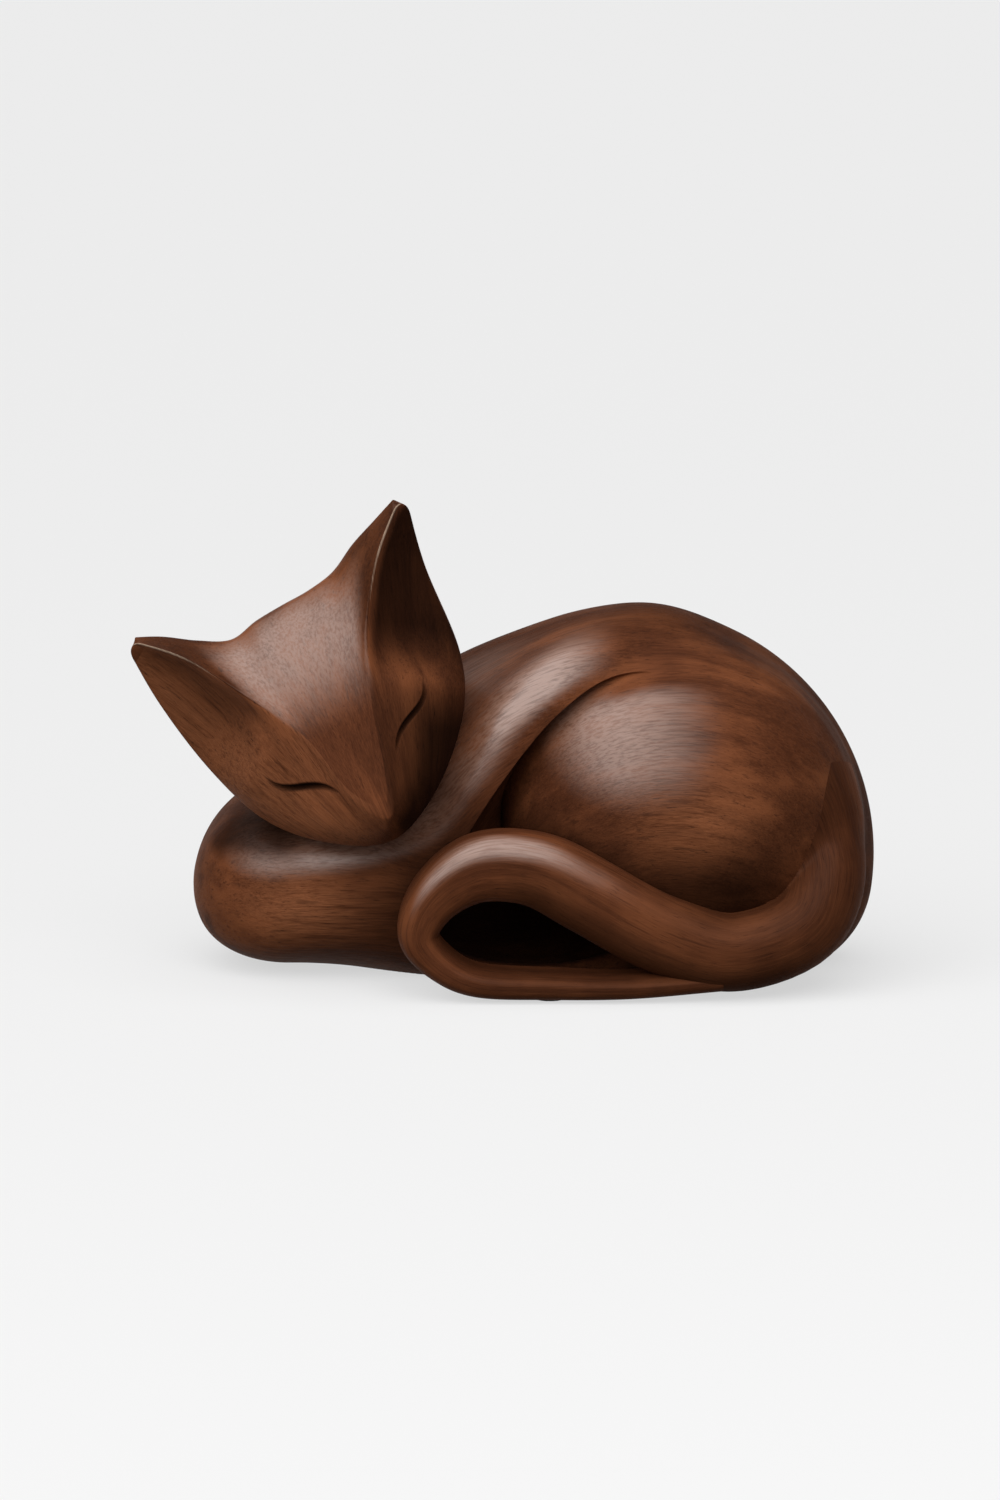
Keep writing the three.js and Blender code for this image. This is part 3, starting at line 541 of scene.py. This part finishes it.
head = {
    "earSpan": 121.5, "faceLength": 121.5, "relief": 26, "depth": 46,
    "roll": 28.2, "turn": 4.5, "pitch": 7.7, "earLine": (-95, -22, 169.5),
    "crownLeft": [(0.2, 0.142, -0.45), (0.4, 0.161, -0.42), (0.6, 0.114, -0.35), (0.8, 0.049, -0.22),
                  (1.022, -0.003, -0.04)],
    "crownRight": [(0, 0.135, -0.45), (0.2, 0.134, -0.45), (0.4, 0.12, -0.42), (0.6, 0.074, -0.35),
                   (0.8, 0.042, -0.22), (1.07, -0.003, -0.04)],
    "ridgeLeft": [(0.082, 0.807, 0.92), (0.194, 0.579, 0.76), (0.43, 0.376, 0.58), (0.69, 0.16, 0.32),
                  (1.022, -0.003, 0.02)],
    "ridgeRight": [(0.085, 0.917, 0.98), (0.165, 0.815, 0.92), (0.259, 0.588, 0.76), (0.429, 0.373, 0.58),
                   (0.699, 0.167, 0.32), (1.07, -0.003, 0.02)],
    "jawLeft": [(0.398, 0.9, 0), (0.716, 0.744, -0.35), (0.905, 0.519, -0.5), (1.009, 0.248, -0.4),
                (1.022, 0, -0.04)],
    "jawRight": [(0, 0.994, 0.2), (0.385, 0.925, 0), (0.749, 0.754, -0.35), (0.918, 0.563, -0.5),
                 (0.964, 0.25, -0.4), (1.07, 0, -0.04)],
    "back": [1, 0.96, 0.82, 0.56, 0.28, 0.02],
    "crownFullness": 0.21, "browFullness": 0.09, "browFill": 0.15, "browTo": (0, 0.4),
    "earThin": 0.4, "thinFrom": (0.4, 0.75), "cheekFullness": 0.14, "jawFullness": 0.3,
    "earHollow": 0.3, "earRim": 0.05, "hollowStart": 0.47, "hollowEnd": 0.66,
    "ridgeWidths": (14.0, 1.5), "ridgeCrisp": (0.25, 0.75), "ridgePasses": 60,
    "edgeWidth": 3.0, "edgePasses": 20,
    "foreheadSides": 60, "napeSides": 40,
    "stations": ((-0.925, 50), (-0.5, 90), (-0.24, 54), (0.24, 90), (0.5, 50), (0.925, 1)),
    "cheekShares": ((0, 14), (0.1, 124), (0.56, 42), (1, 0)),
    "tipLength": 3.6, "tipSteps": 16, "tipRun": 0.22, "tipFlat": 0.6,
}
eye = {-1: {"inner": 0.248, "outer": 0.455, "innerFall": 0.115, "outerFall": 0.49},
       1: {"inner": 0.296, "outer": 0.51, "innerFall": 0.186, "outerFall": 0.474},
       "sway": 0.042, "bow": 0.04, "halfWidth": 1.0, "endShare": 0.25, "slitEdge": 1.15, "depth": 2.4,
       "shadeEdge": 2.1, "lid": 0.05, "lidWidth": 2.0}


def spread(stretches):
    # steps of differing fineness: each stretch has its start and its number of steps
    parts = [np.linspace(a[0], b[0], a[1], endpoint=False) for a, b in zip(stretches, stretches[1:])]
    return np.concatenate(parts + [[stretches[-1][0]]])


def headLine(leftHalf, rightHalf, bend, at):
    # from the left ear tip to the right one, swayed to one side as it comes down the face
    def share(half, side):
        p = np.asarray(half, float)
        return np.stack([side * p[:, 0] * head["earSpan"] / 2 - p[:, 1] ** bend * head["turn"],
                         -p[:, 2] * head["relief"], -p[:, 1] * head["faceLength"]], -1)
    return splineAt(np.vstack([share(head[leftHalf], -1)[::-1], share(head[rightHalf], 1)]), at)


def forward(p, by):
    return p - np.asarray(by)[..., None] * vec(0, 1, 0)


def headArcs(at):
    crown = headLine("crownLeft", "crownRight", 1, at)
    ridge = headLine("ridgeLeft", "ridgeRight", 3, at)
    jaw = headLine("jawLeft", "jawRight", 1, at)
    deep = splineAt([(b,) for b in head["back"][:0:-1] + head["back"]], at)[:, 0] * head["depth"] * 4 / 3
    ear = ease(head["hollowStart"], head["hollowEnd"], np.abs(2 * at - 1))
    rise = np.linalg.norm(crown - ridge, axis=-1)
    fall = np.linalg.norm(jaw - ridge, axis=-1)
    share = np.abs(2 * at - 1)
    full = 1 + head["browFill"] * ease(*head["browTo"], share)
    full = rise * (full - head["earThin"] * ease(*head["thinFrom"], share))
    forehead = (crown, forward(between(crown, ridge, 0.1), head["crownFullness"] * full),
                forward(between(ridge, crown, 0.4), head["browFullness"] * full), ridge)
    cheekFull = between(head["cheekFullness"], -head["earHollow"], ear) * fall
    jawFull = between(head["jawFullness"], head["earRim"], ear) * fall
    cheek = (ridge, forward(between(ridge, jaw, 0.4), cheekFull),
             forward(between(jaw, ridge, 0.12), jawFull), jaw)
    nape = (jaw, forward(jaw, -deep), forward(crown, -deep), crown)
    return forehead, cheek, nape


def headPlaced(p):
    # pitched about X, rolled about Y and set on the middle of the line between the ear tips
    a, b = math.radians(-head["pitch"]), math.radians(-head["roll"])
    pitch = np.array([[1, 0, 0], [0, math.cos(a), -math.sin(a)], [0, math.sin(a), math.cos(a)]])
    roll = np.array([[math.cos(b), 0, math.sin(b)], [0, 1, 0], [-math.sin(b), 0, math.cos(b)]])
    return p @ (roll @ pitch).T + vec(*head["earLine"])


def eyeLine(side):
    w = np.linspace(0, 1, 41)
    ends = eye[side]
    station = (1 + side * between(ends["inner"], ends["outer"], w)) / 2
    fall = between(ends["innerFall"], ends["outerFall"], w)
    fall = fall - eye["sway"] * np.sin(2 * np.pi * w) + eye["bow"] * np.sin(np.pi * w)
    arcs = headArcs(station)[1]
    return np.stack([bezierAt(*(p[k:k + 1] for p in arcs), fall[k:k + 1])[0, 0] for k in range(len(w))])


def softened(grid, column, width, passes):
    # rubs an edge down: each pass moves points near it half way to the mean of their two neighbours
    half = grid.shape[1] // 2
    far = np.abs((np.arange(grid.shape[1]) - column + half) % grid.shape[1] - half)
    weight = (0.5 * np.exp(-(far[None] / width[:, None]) ** 2))[..., None]
    for _ in range(passes):
        grid = between(grid, (np.roll(grid, 1, 1) + np.roll(grid, -1, 1)) / 2, weight)
    return grid


def earTip(last, before):
    # a rounded end: each point runs on along its own line, then bends over to the tip
    axis = unitLength(last.mean(0) - before.mean(0))
    tip = last.mean(0) + axis * head["tipLength"]
    out = last - tip
    run = unitLength(last - before) * np.linalg.norm(out, axis=-1, keepdims=True)
    flat = out - (out @ axis)[:, None] * axis
    w = np.linspace(0, 1, head["tipSteps"] + 2)[1:-1]
    grid = bezierAt(last, last + run * head["tipRun"], tip + flat * head["tipFlat"], tip + 0 * last, w)
    return grid.swapaxes(0, 1)


# wear, painted shade, painted warm light, a painted highlight with coat gloss, and grain for the head
headWearGrainAndPaintedLight = {
    "wear": 0.8, "wearWidth": 1.0, "wearFrom": (0.5, 0.9),
    "leftEar": 0.35, "rightEar": 0.9, "earEdge": (1.0, 6.0), "earBack": 0.45, "earBackFrom": (0.42, 0.65),
    "cheek": (0.45, 0.97), "cheekFall": (0.15, 0.6), "cheekFrom": (0.5, 0.54), "cheekTo": (0.68, 0.78),
    "glossAndPaintedHighlightAmount": 0.85, "highlightFall": (0.33, 0.6), "earHighlightCut": 0.8, "earHighlightFrom": (0.45, 0.7),
    "warmPaintedLight": 0.75, "warmTo": (0.42, 0.5),
    "grainCentre": (-3, -150), "grainStart": 2000, "grainRadius": 90,
}


def eyesCut(grid, front):
    # closed eyes: a slit sunk along the normal, with a low lid below it; gives the shade of the slits too
    normal = gridNormals(grid)
    slits = 0 * grid[..., 0]
    for side in (-1, 1):
        far, along, foot = nearestOnLine(grid, eyeLine(side))
        taper = np.sin(np.pi * np.clip(along, 0, 1)) ** 0.5
        away = far / (eye["halfWidth"] * between(eye["endShare"], 1.0, taper))
        slit = np.clip(eye["slitEdge"] - away, 0, 1) * taper * front
        lid = np.exp(-(far - eye["lidWidth"]) ** 2) * taper * ((grid - foot)[..., 2] < 0) * front
        grid = grid + normal * (lid * eye["lid"] - slit * eye["depth"])[..., None]
        slits = np.maximum(slits, np.clip(eye["shadeEdge"] - away, 0, 1) * taper * front)
    return grid, slits


def headMarks(mesh, grid, at, share, slits, ridgeColumn, front):
    # pale wear along the ridge near each ear tip; painted shade in the ear hollows, in the slits, on the right
    # cheek and on the backs of the ears
    extra = (head["tipSteps"], head["tipSteps"])
    ear = share[:, None]
    far = np.linalg.norm(grid - grid[:, ridgeColumn][:, None], axis=-1)
    wear = np.exp(-(far / headWearGrainAndPaintedLight["wearWidth"]) ** 2) * ease(*headWearGrainAndPaintedLight["wearFrom"], ear)
    marked(mesh, "wear", ended(headWearGrainAndPaintedLight["wear"] * wear)[:, 0])
    inEar = ease(head["hollowStart"], head["hollowEnd"], ear) * front * ease(*headWearGrainAndPaintedLight["earEdge"], far)
    onLeft = np.arange(len(share)) < len(share) / 2
    inEar = inEar * np.where(onLeft, headWearGrainAndPaintedLight["leftEar"], headWearGrainAndPaintedLight["rightEar"])[:, None]
    shaded = np.zeros(grid.shape[1])
    fall = spread(head["cheekShares"])[:-1]
    shaded[front] = between(*headWearGrainAndPaintedLight["cheek"], ease(*headWearGrainAndPaintedLight["cheekFall"], fall))
    right = ease(*headWearGrainAndPaintedLight["cheekFrom"], at) * (1 - ease(*headWearGrainAndPaintedLight["cheekTo"], at))
    onRight = np.pad(right, extra)[:, None] * shaded
    forehead = np.arange(grid.shape[1]) < ridgeColumn
    earBack = headWearGrainAndPaintedLight["earBack"] * ease(*headWearGrainAndPaintedLight["earBackFrom"], ear) * forehead
    marked(mesh, "dark", ended(np.max([inEar, slits, onRight, earBack], axis=0))[:, 0])

    # grain fans out from a point under the nose
    x, z = grid[..., 0] - headWearGrainAndPaintedLight["grainCentre"][0], grid[..., 2] - headWearGrainAndPaintedLight["grainCentre"][1]
    fan = np.arctan2(x, z) * headWearGrainAndPaintedLight["grainRadius"]
    marked(mesh, "grain", ended(np.stack([np.hypot(x, z) + headWearGrainAndPaintedLight["grainStart"], fan, grid[..., 1]], -1)))

    # coat gloss and a painted highlight on the upper forehead more than on the ears; painted warm light on the
    # left cheek
    high = 1 - ease(*headWearGrainAndPaintedLight["highlightFall"], -grid[..., 2] / head["faceLength"])
    lessOnEars = 1 - headWearGrainAndPaintedLight["earHighlightCut"] * ease(*headWearGrainAndPaintedLight["earHighlightFrom"], ear)
    marked(mesh, "glossAndPaintedHighlightAmount", ended(headWearGrainAndPaintedLight["glossAndPaintedHighlightAmount"] * high * lessOnEars)[:, 0])
    left = np.pad(1 - ease(*headWearGrainAndPaintedLight["warmTo"], at), extra)[:, None]
    marked(mesh, "warmPaintedLight", ended(headWearGrainAndPaintedLight["warmPaintedLight"] * left * shaded * front)[:, 0])


def makeHead():
    # a loft from ear tip to ear tip; each section is three arcs: forehead, cheek and nape
    at = (1 + spread(head["stations"])) / 2
    share = np.abs(2 * at - 1)
    shares = (np.linspace(0, 1, head["foreheadSides"], endpoint=False), spread(head["cheekShares"])[:-1],
              np.linspace(0, 1, head["napeSides"], endpoint=False))
    grid = np.concatenate([bezierAt(*arc, w) for arc, w in zip(headArcs(at), shares)], 1)
    ridgeColumn, jawColumn = len(shares[0]), len(shares[0]) + len(shares[1])
    columns = np.arange(grid.shape[1])
    front = (columns >= ridgeColumn) & (columns < jawColumn)

    # the ridge is crisp at the ear tips and fades to a soft fold at the nose
    ridgeWidth = between(*head["ridgeWidths"], ease(*head["ridgeCrisp"], share))
    grid = softened(grid, ridgeColumn, ridgeWidth, head["ridgePasses"])
    for column in (0, jawColumn):
        grid = softened(grid, column, 0 * share + head["edgeWidth"], head["edgePasses"])
    grid, slits = eyesCut(grid, front)

    # the rounded tips add sections at both ends
    grid = np.concatenate([earTip(grid[0], grid[3])[::-1], grid, earTip(grid[-1], grid[-4])])
    extra = (head["tipSteps"], head["tipSteps"])
    share = np.pad(share, extra, constant_values=1.0)
    slits = np.pad(slits, (extra, (0, 0)))
    ends = headPlaced(np.stack([grid[0].mean(0), grid[-1].mean(0)]))
    mesh = skinMesh("cat_head", headPlaced(grid), ends)
    headMarks(mesh, grid, at, share, slits, ridgeColumn, front)
    return shown("cat_head", mesh)


# Felt pads

feltPad = {"rings": 10, "sides": 72, "rounding": 0.35, "fuzz": 0.05, "clear": 0.05}


def makePad(node):
    # a disc turned from a profile with rounded rims, its rim a little uneven as cut felt is
    low, high = (np.array(corner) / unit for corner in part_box(node))
    radius, height = (high[1] - low[1]) / 2 - feltPad["clear"], high[2] - low[2]
    r = feltPad["rounding"]
    bend = np.linspace(0, np.pi / 2, feltPad["rings"])
    rim, middle = radius - r, [radius / 2]
    out = np.concatenate([middle, rim + r * np.sin(bend), rim + r * np.cos(bend), middle])
    up = np.concatenate([[0.0], r - r * np.cos(bend), height - r + r * np.sin(bend), [height]])
    turn = turns(feltPad["sides"])
    uneven = 1 + feltPad["fuzz"] / radius * (np.sin(9 * turn) + np.sin(17 * turn + 1) + np.sin(29 * turn + 2))
    x, y = (low + high)[:2] / 2
    grid = np.stack([x + np.outer(out, np.cos(turn) * uneven), y + np.outer(out, np.sin(turn) * uneven),
                     np.repeat(up[:, None], len(turn), 1)], -1) - vec(*carving["shift"])
    ends = np.array([(x, y, 0.0), (x, y, height)]) - vec(*carving["shift"])
    name = "felt_" + node.removeprefix("felt_pad_")
    piece = shown(name, skinMesh(name, grid, ends))
    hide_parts(node)
    return piece


# Materials: a socket with operators, each of which adds a node

class Wire:
    def __init__(self, tree, socket=None):
        self.tree, self.socket = tree, socket

    def node(self, kind, settings=None, inputs=None, output=0):
        made = self.tree.nodes.new("ShaderNode" + kind)
        for key, value in (settings or {}).items():
            setattr(made, key, value)
        for key, value in (inputs or {}).items():
            if isinstance(value, Wire):
                self.tree.links.new(value.socket, made.inputs[key])
            else:
                made.inputs[key].default_value = value
        return Wire(self.tree, made.outputs[output])

    def maths(self, operation, a, b=0.0):
        return self.node("Math", {"operation": operation}, {0: a, 1: b})

    def __add__(self, other):
        return self.maths("ADD", self, other)

    def __radd__(self, other):
        return self.maths("ADD", other, self)

    def __sub__(self, other):
        return self.maths("SUBTRACT", self, other)

    def __rsub__(self, other):
        return self.maths("SUBTRACT", other, self)

    def __mul__(self, other):
        return self.maths("MULTIPLY", self, other)

    def __rmul__(self, other):
        return self.maths("MULTIPLY", other, self)

    def capped(self):
        return self.maths("MINIMUM", self, 1.0)

    def clipped(self, low, high):
        inputs = {0: self, 1: low, 2: high, 3: 0.0, 4: 1.0}
        return self.node("MapRange", {"interpolation_type": "SMOOTHSTEP"}, inputs)

    def stretched(self, *scale):
        return self.node("VectorMath", {"operation": "MULTIPLY"}, {0: self, 1: scale})

    def noise(self, scale, detail=2.0, roughness=0.5, distortion=0.0):
        inputs = {"Vector": self, "Scale": scale, "Detail": detail, "Roughness": roughness,
                  "Distortion": distortion}
        return self.node("TexNoise", None, inputs)

    def mixed(self, a, b):  # self is the factor
        return self.node("Mix", {"data_type": "RGBA", "clamp_factor": True}, {0: self, 6: a, 7: b}, 2)

    def bumped(self, strength, distance, normal=None):
        inputs = {"Height": self, "Strength": strength, "Distance": distance}
        if normal:
            inputs["Normal"] = normal
        return self.node("Bump", None, inputs)


def newMaterial(name, settings):
    # an empty material with its shader; constants are set on the shader's own sockets
    made = bpy.data.materials.new(name)
    made.use_nodes = True
    shader = made.node_tree.nodes["Principled BSDF"]
    for key, value in settings.items():
        shader.inputs[key].default_value = value
    return made, shader, Wire(made.node_tree)


def plug(wire, shader, socket):
    wire.tree.links.new(wire.socket, shader.inputs[socket])


# deep, mid and warm are wood tones and line is the grain's lines; light is painted warm light; dark is painted
# shade; bare is pale worn wood; the pale pink-grey after it is a painted highlight
walnut = {
    "deep": (0.055, 0.0170, 0.0072, 1), "mid": (0.150, 0.0480, 0.0195, 1), "warm": (0.220, 0.0720, 0.0280, 1),
    "light": (0.330, 0.1200, 0.0520, 1), "line": (0.022, 0.0080, 0.0045, 1), "dark": (0.003, 0.0012, 0.0008, 1),
    "bare": (0.46, 0.33, 0.24, 1), "glossAndPaintedHighlight": (0.235, 0.128, 0.090, 1),
    "shader": {"Specular IOR Level": 0.02, "Coat Roughness": 0.3, "Coat IOR": 1.7},
}


def walnutMaterial():
    # wide bands, streaks, fibres and pores along the grain, then painted shade, painted warm light, coat gloss
    # with a painted highlight, and wear from the attributes
    made, shader, w = newMaterial("walnut", walnut["shader"])
    grain = w.node("Attribute", {"attribute_name": "grain"}, None, "Vector")
    place = w.node("TexCoord", None, None, "Object")
    cloud = place.noise(20.0, 3.0, 0.55)
    band = grain.stretched(0.008, 0.10, 0.10).noise(1.0, 3.0, 0.5, 0.4)
    streak = grain.stretched(0.03, 0.55, 0.55).noise(1.0, 4.0, 0.6, 0.25)
    fibre = grain.stretched(0.10, 2.2, 2.2).noise(1.0, 3.0, 0.6)
    pore = grain.stretched(0.15, 2.4, 2.4).noise(1.0, 2.0, 0.5).clipped(0.61, 0.74)
    nick = grain.stretched(0.09, 0.9, 0.9).noise(1.0, 3.0, 0.6, 0.6)

    tone = (0.3 * band + 0.35 * streak + 0.3 * cloud + 0.3 * fibre).clipped(0.44, 0.82)
    colour = tone.mixed(walnut["deep"], walnut["mid"])
    colour = (0.7 * (band * cloud).clipped(0.2, 0.42)).mixed(colour, walnut["warm"])
    # painted warm light: a lighter, warmer colour where the attribute marks it
    warmPaintedLight = w.node("Attribute", {"attribute_name": "warmPaintedLight"}, None, "Fac")
    colour = (warmPaintedLight * (0.9 * streak + 0.5 * fibre).clipped(0.35, 0.95)).mixed(colour, walnut["light"])
    lines = 0.5 * streak.clipped(0.54, 0.70) + 0.6 * pore
    colour = lines.mixed(colour, walnut["line"])
    # painted shade: near black where the dark attribute marks it
    dark = w.node("Attribute", {"attribute_name": "dark"}, None, "Fac")
    colour = (0.92 * dark).mixed(colour, walnut["dark"])
    # painted highlight: pale pink-grey where the coat's gloss goes
    glossAndPaintedHighlightAmount = w.node("Attribute", {"attribute_name": "glossAndPaintedHighlightAmount"}, None, "Fac")
    glossAndPaintedHighlightMask = w.node("Attribute", {"attribute_name": "glossAndPaintedHighlightMask"}, None, "Fac") * glossAndPaintedHighlightAmount * (1 - dark)
    stroke = grain.stretched(0.08, 1.3, 1.3).noise(1.0, 4.0, 0.65, 0.3)
    colour = (glossAndPaintedHighlightMask * (0.35 + 0.65 * stroke.clipped(0.36, 0.58))).mixed(colour, walnut["glossAndPaintedHighlight"])
    wear = w.node("Attribute", {"attribute_name": "wear"}, None, "Fac")
    colour = (wear * (0.4 + 1.0 * fibre)).clipped(0.25, 0.9).mixed(colour, walnut["bare"])
    plug(colour, shader, "Base Color")
    plug(0.42 + 0.12 * streak + 0.12 * pore - 0.08 * cloud + 0.3 * dark, shader, "Roughness")
    plug((glossAndPaintedHighlightMask * (0.4 + 0.7 * stroke)).capped(), shader, "Coat Weight")
    carved = nick.bumped(0.4, 0.0007)
    plug((fibre - 0.9 * pore).bumped(0.35, 0.0003, carved), shader, "Normal")
    return made


beech = {"dark": (0.50, 0.31, 0.15, 1), "pale": (0.62, 0.42, 0.22, 1), "fleck": (300, 300, 1400),
         "shader": {"Specular IOR Level": 0.4}}


def beechMaterial():
    made, shader, w = newMaterial("beech", beech["shader"])
    place = w.node("TexCoord", None, None, "Object")
    fleck = place.stretched(*beech["fleck"]).noise(1.0, 3.0, 0.6)
    plug(fleck.clipped(0.35, 0.7).mixed(beech["dark"], beech["pale"]), shader, "Base Color")
    plug(0.5 + 0.2 * fleck, shader, "Roughness")
    return made


wool = {"dark": (0.014, 0.010, 0.008, 1), "pale": (0.045, 0.034, 0.027, 1), "fuzz": 2600.0,
        "shader": {"Specular IOR Level": 0.2, "Sheen Weight": 0.3}}


def feltMaterial():
    made, shader, w = newMaterial("felt", wool["shader"])
    place = w.node("TexCoord", None, None, "Object")
    fuzz = place.noise(wool["fuzz"], 4.0, 0.7)
    plug(fuzz.clipped(0.3, 0.7).mixed(wool["dark"], wool["pale"]), shader, "Base Color")
    plug(0.9 + 0.1 * fuzz, shader, "Roughness")
    plug(fuzz.bumped(0.8, 0.0004), shader, "Normal")
    return made


# The figure

wood, dowelWood, felt = walnutMaterial(), beechMaterial(), feltMaterial()
print("materials made")
for make, node in ((makeBody, "body"), (makeForelegs, "forelegs"), (makeHead, "head"), (makeTail, "tail")):
    piece = make()
    piece.data.materials.clear()
    piece.data.materials.append(wood)
    glossAndPaintedHighlight(piece.data)
    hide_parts(node)
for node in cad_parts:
    if node.startswith("felt_pad_"):
        makePad(node).data.materials.append(felt)
    if "_dowel_" in node:
        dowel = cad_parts[node].data
        dowel.materials.clear()
        dowel.materials.append(dowelWood)
print("pieces made")


# Stage, light and camera

studio = {
    "pale": (0.863, 0.863, 0.863, 1), "bounce": (0.12, 0.12, 0.12, 1), "ambient": 0.06,
    "floor": 30.0, "glow": 0.7,
    "key": 3.0, "keyAngle": 84, "keyFrom": (-0.22, -0.42, 0.87), "keyFar": 3,
    "fill": 6.5, "fillFrom": (-0.9, -0.8, 0.25), "side": 7.0, "sideFrom": (0.35, -0.9, 0.5),
    "lampSize": 1.2, "lampFar": 1.6, "lampsAim": (0, 0, 0.08),
}


def paleToCamera(w):
    # 1 for rays that show the background: straight to the camera, or by gloss or glass
    ray = w.node("LightPath")
    outputs = ray.socket.node.outputs
    return ray + Wire(w.tree, outputs["Is Glossy Ray"]) + Wire(w.tree, outputs["Is Transmission Ray"])


def makeStage():
    half = studio["floor"] / 2
    mesh = bpy.data.meshes.new("floor")
    corners = [(-half, -half, 0), (half, -half, 0), (half, half, 0), (-half, half, 0)]
    mesh.from_pydata(corners, [], [(0, 1, 2, 3)])
    floor = bpy.data.objects.new("floor", mesh)
    bpy.context.collection.objects.link(floor)
    made, shader, w = newMaterial("floor", {"Roughness": 1.0, "Specular IOR Level": 0.0})
    seen = paleToCamera(w)
    plug(seen.mixed(studio["bounce"], studio["pale"]), shader, "Base Color")
    glow = w.node("Emission", None, {"Color": studio["pale"], "Strength": 1.0})
    both = w.node("MixShader", None, {0: studio["glow"] * seen, 1: Wire(w.tree, shader.outputs[0]), 2: glow})
    plug(both, made.node_tree.nodes["Material Output"], "Surface")
    mesh.materials.append(made)

    world = bpy.data.worlds.new("studio")
    bpy.context.scene.world = world
    world.use_nodes = True
    sky = world.node_tree.nodes["Background"]
    w = Wire(world.node_tree)
    ambient = studio["ambient"]
    plug(paleToCamera(w).mixed((ambient, ambient, ambient, 1), studio["pale"]), sky, "Color")


def makeLamp(name, kind, settings, way, far):
    lamp = bpy.data.lights.new(name, kind)
    for key, value in settings.items():
        setattr(lamp, key, value)
    made = bpy.data.objects.new(name, lamp)
    bpy.context.collection.objects.link(made)
    v = unitLength(vec(*way))
    made.location = v * far + vec(*studio["lampsAim"])
    x, y, z = v
    made.rotation_euler = (math.acos(z), 0, math.atan2(y, x) + math.pi / 2)


view = {"elevation": 10.0, "target": (-0.0021, 0.0007, 0.0899), "far": 2.484, "lens": 148.0, "sensor": 36.0}


def makeCamera():
    camera = bpy.data.cameras.new("camera")
    camera.lens, camera.sensor_width = view["lens"], view["sensor"]
    made = bpy.data.objects.new("camera", camera)
    bpy.context.collection.objects.link(made)
    up = math.radians(view["elevation"])
    made.location = vec(*view["target"]) + view["far"] * vec(0, -math.cos(up), math.sin(up))
    made.rotation_euler = (math.pi / 2 - up, 0, 0)
    bpy.context.scene.camera = made


makeStage()
keyLamp = {"energy": studio["key"], "angle": math.radians(studio["keyAngle"])}
makeLamp("key", "SUN", keyLamp, studio["keyFrom"], studio["keyFar"])
for name in ("fill", "side"):
    lamp = {"energy": studio[name], "size": studio["lampSize"]}
    makeLamp(name, "AREA", lamp, studio[name + "From"], studio["lampFar"])
makeCamera()
bpy.context.scene.view_settings.view_transform = "Standard"
print("studio made")
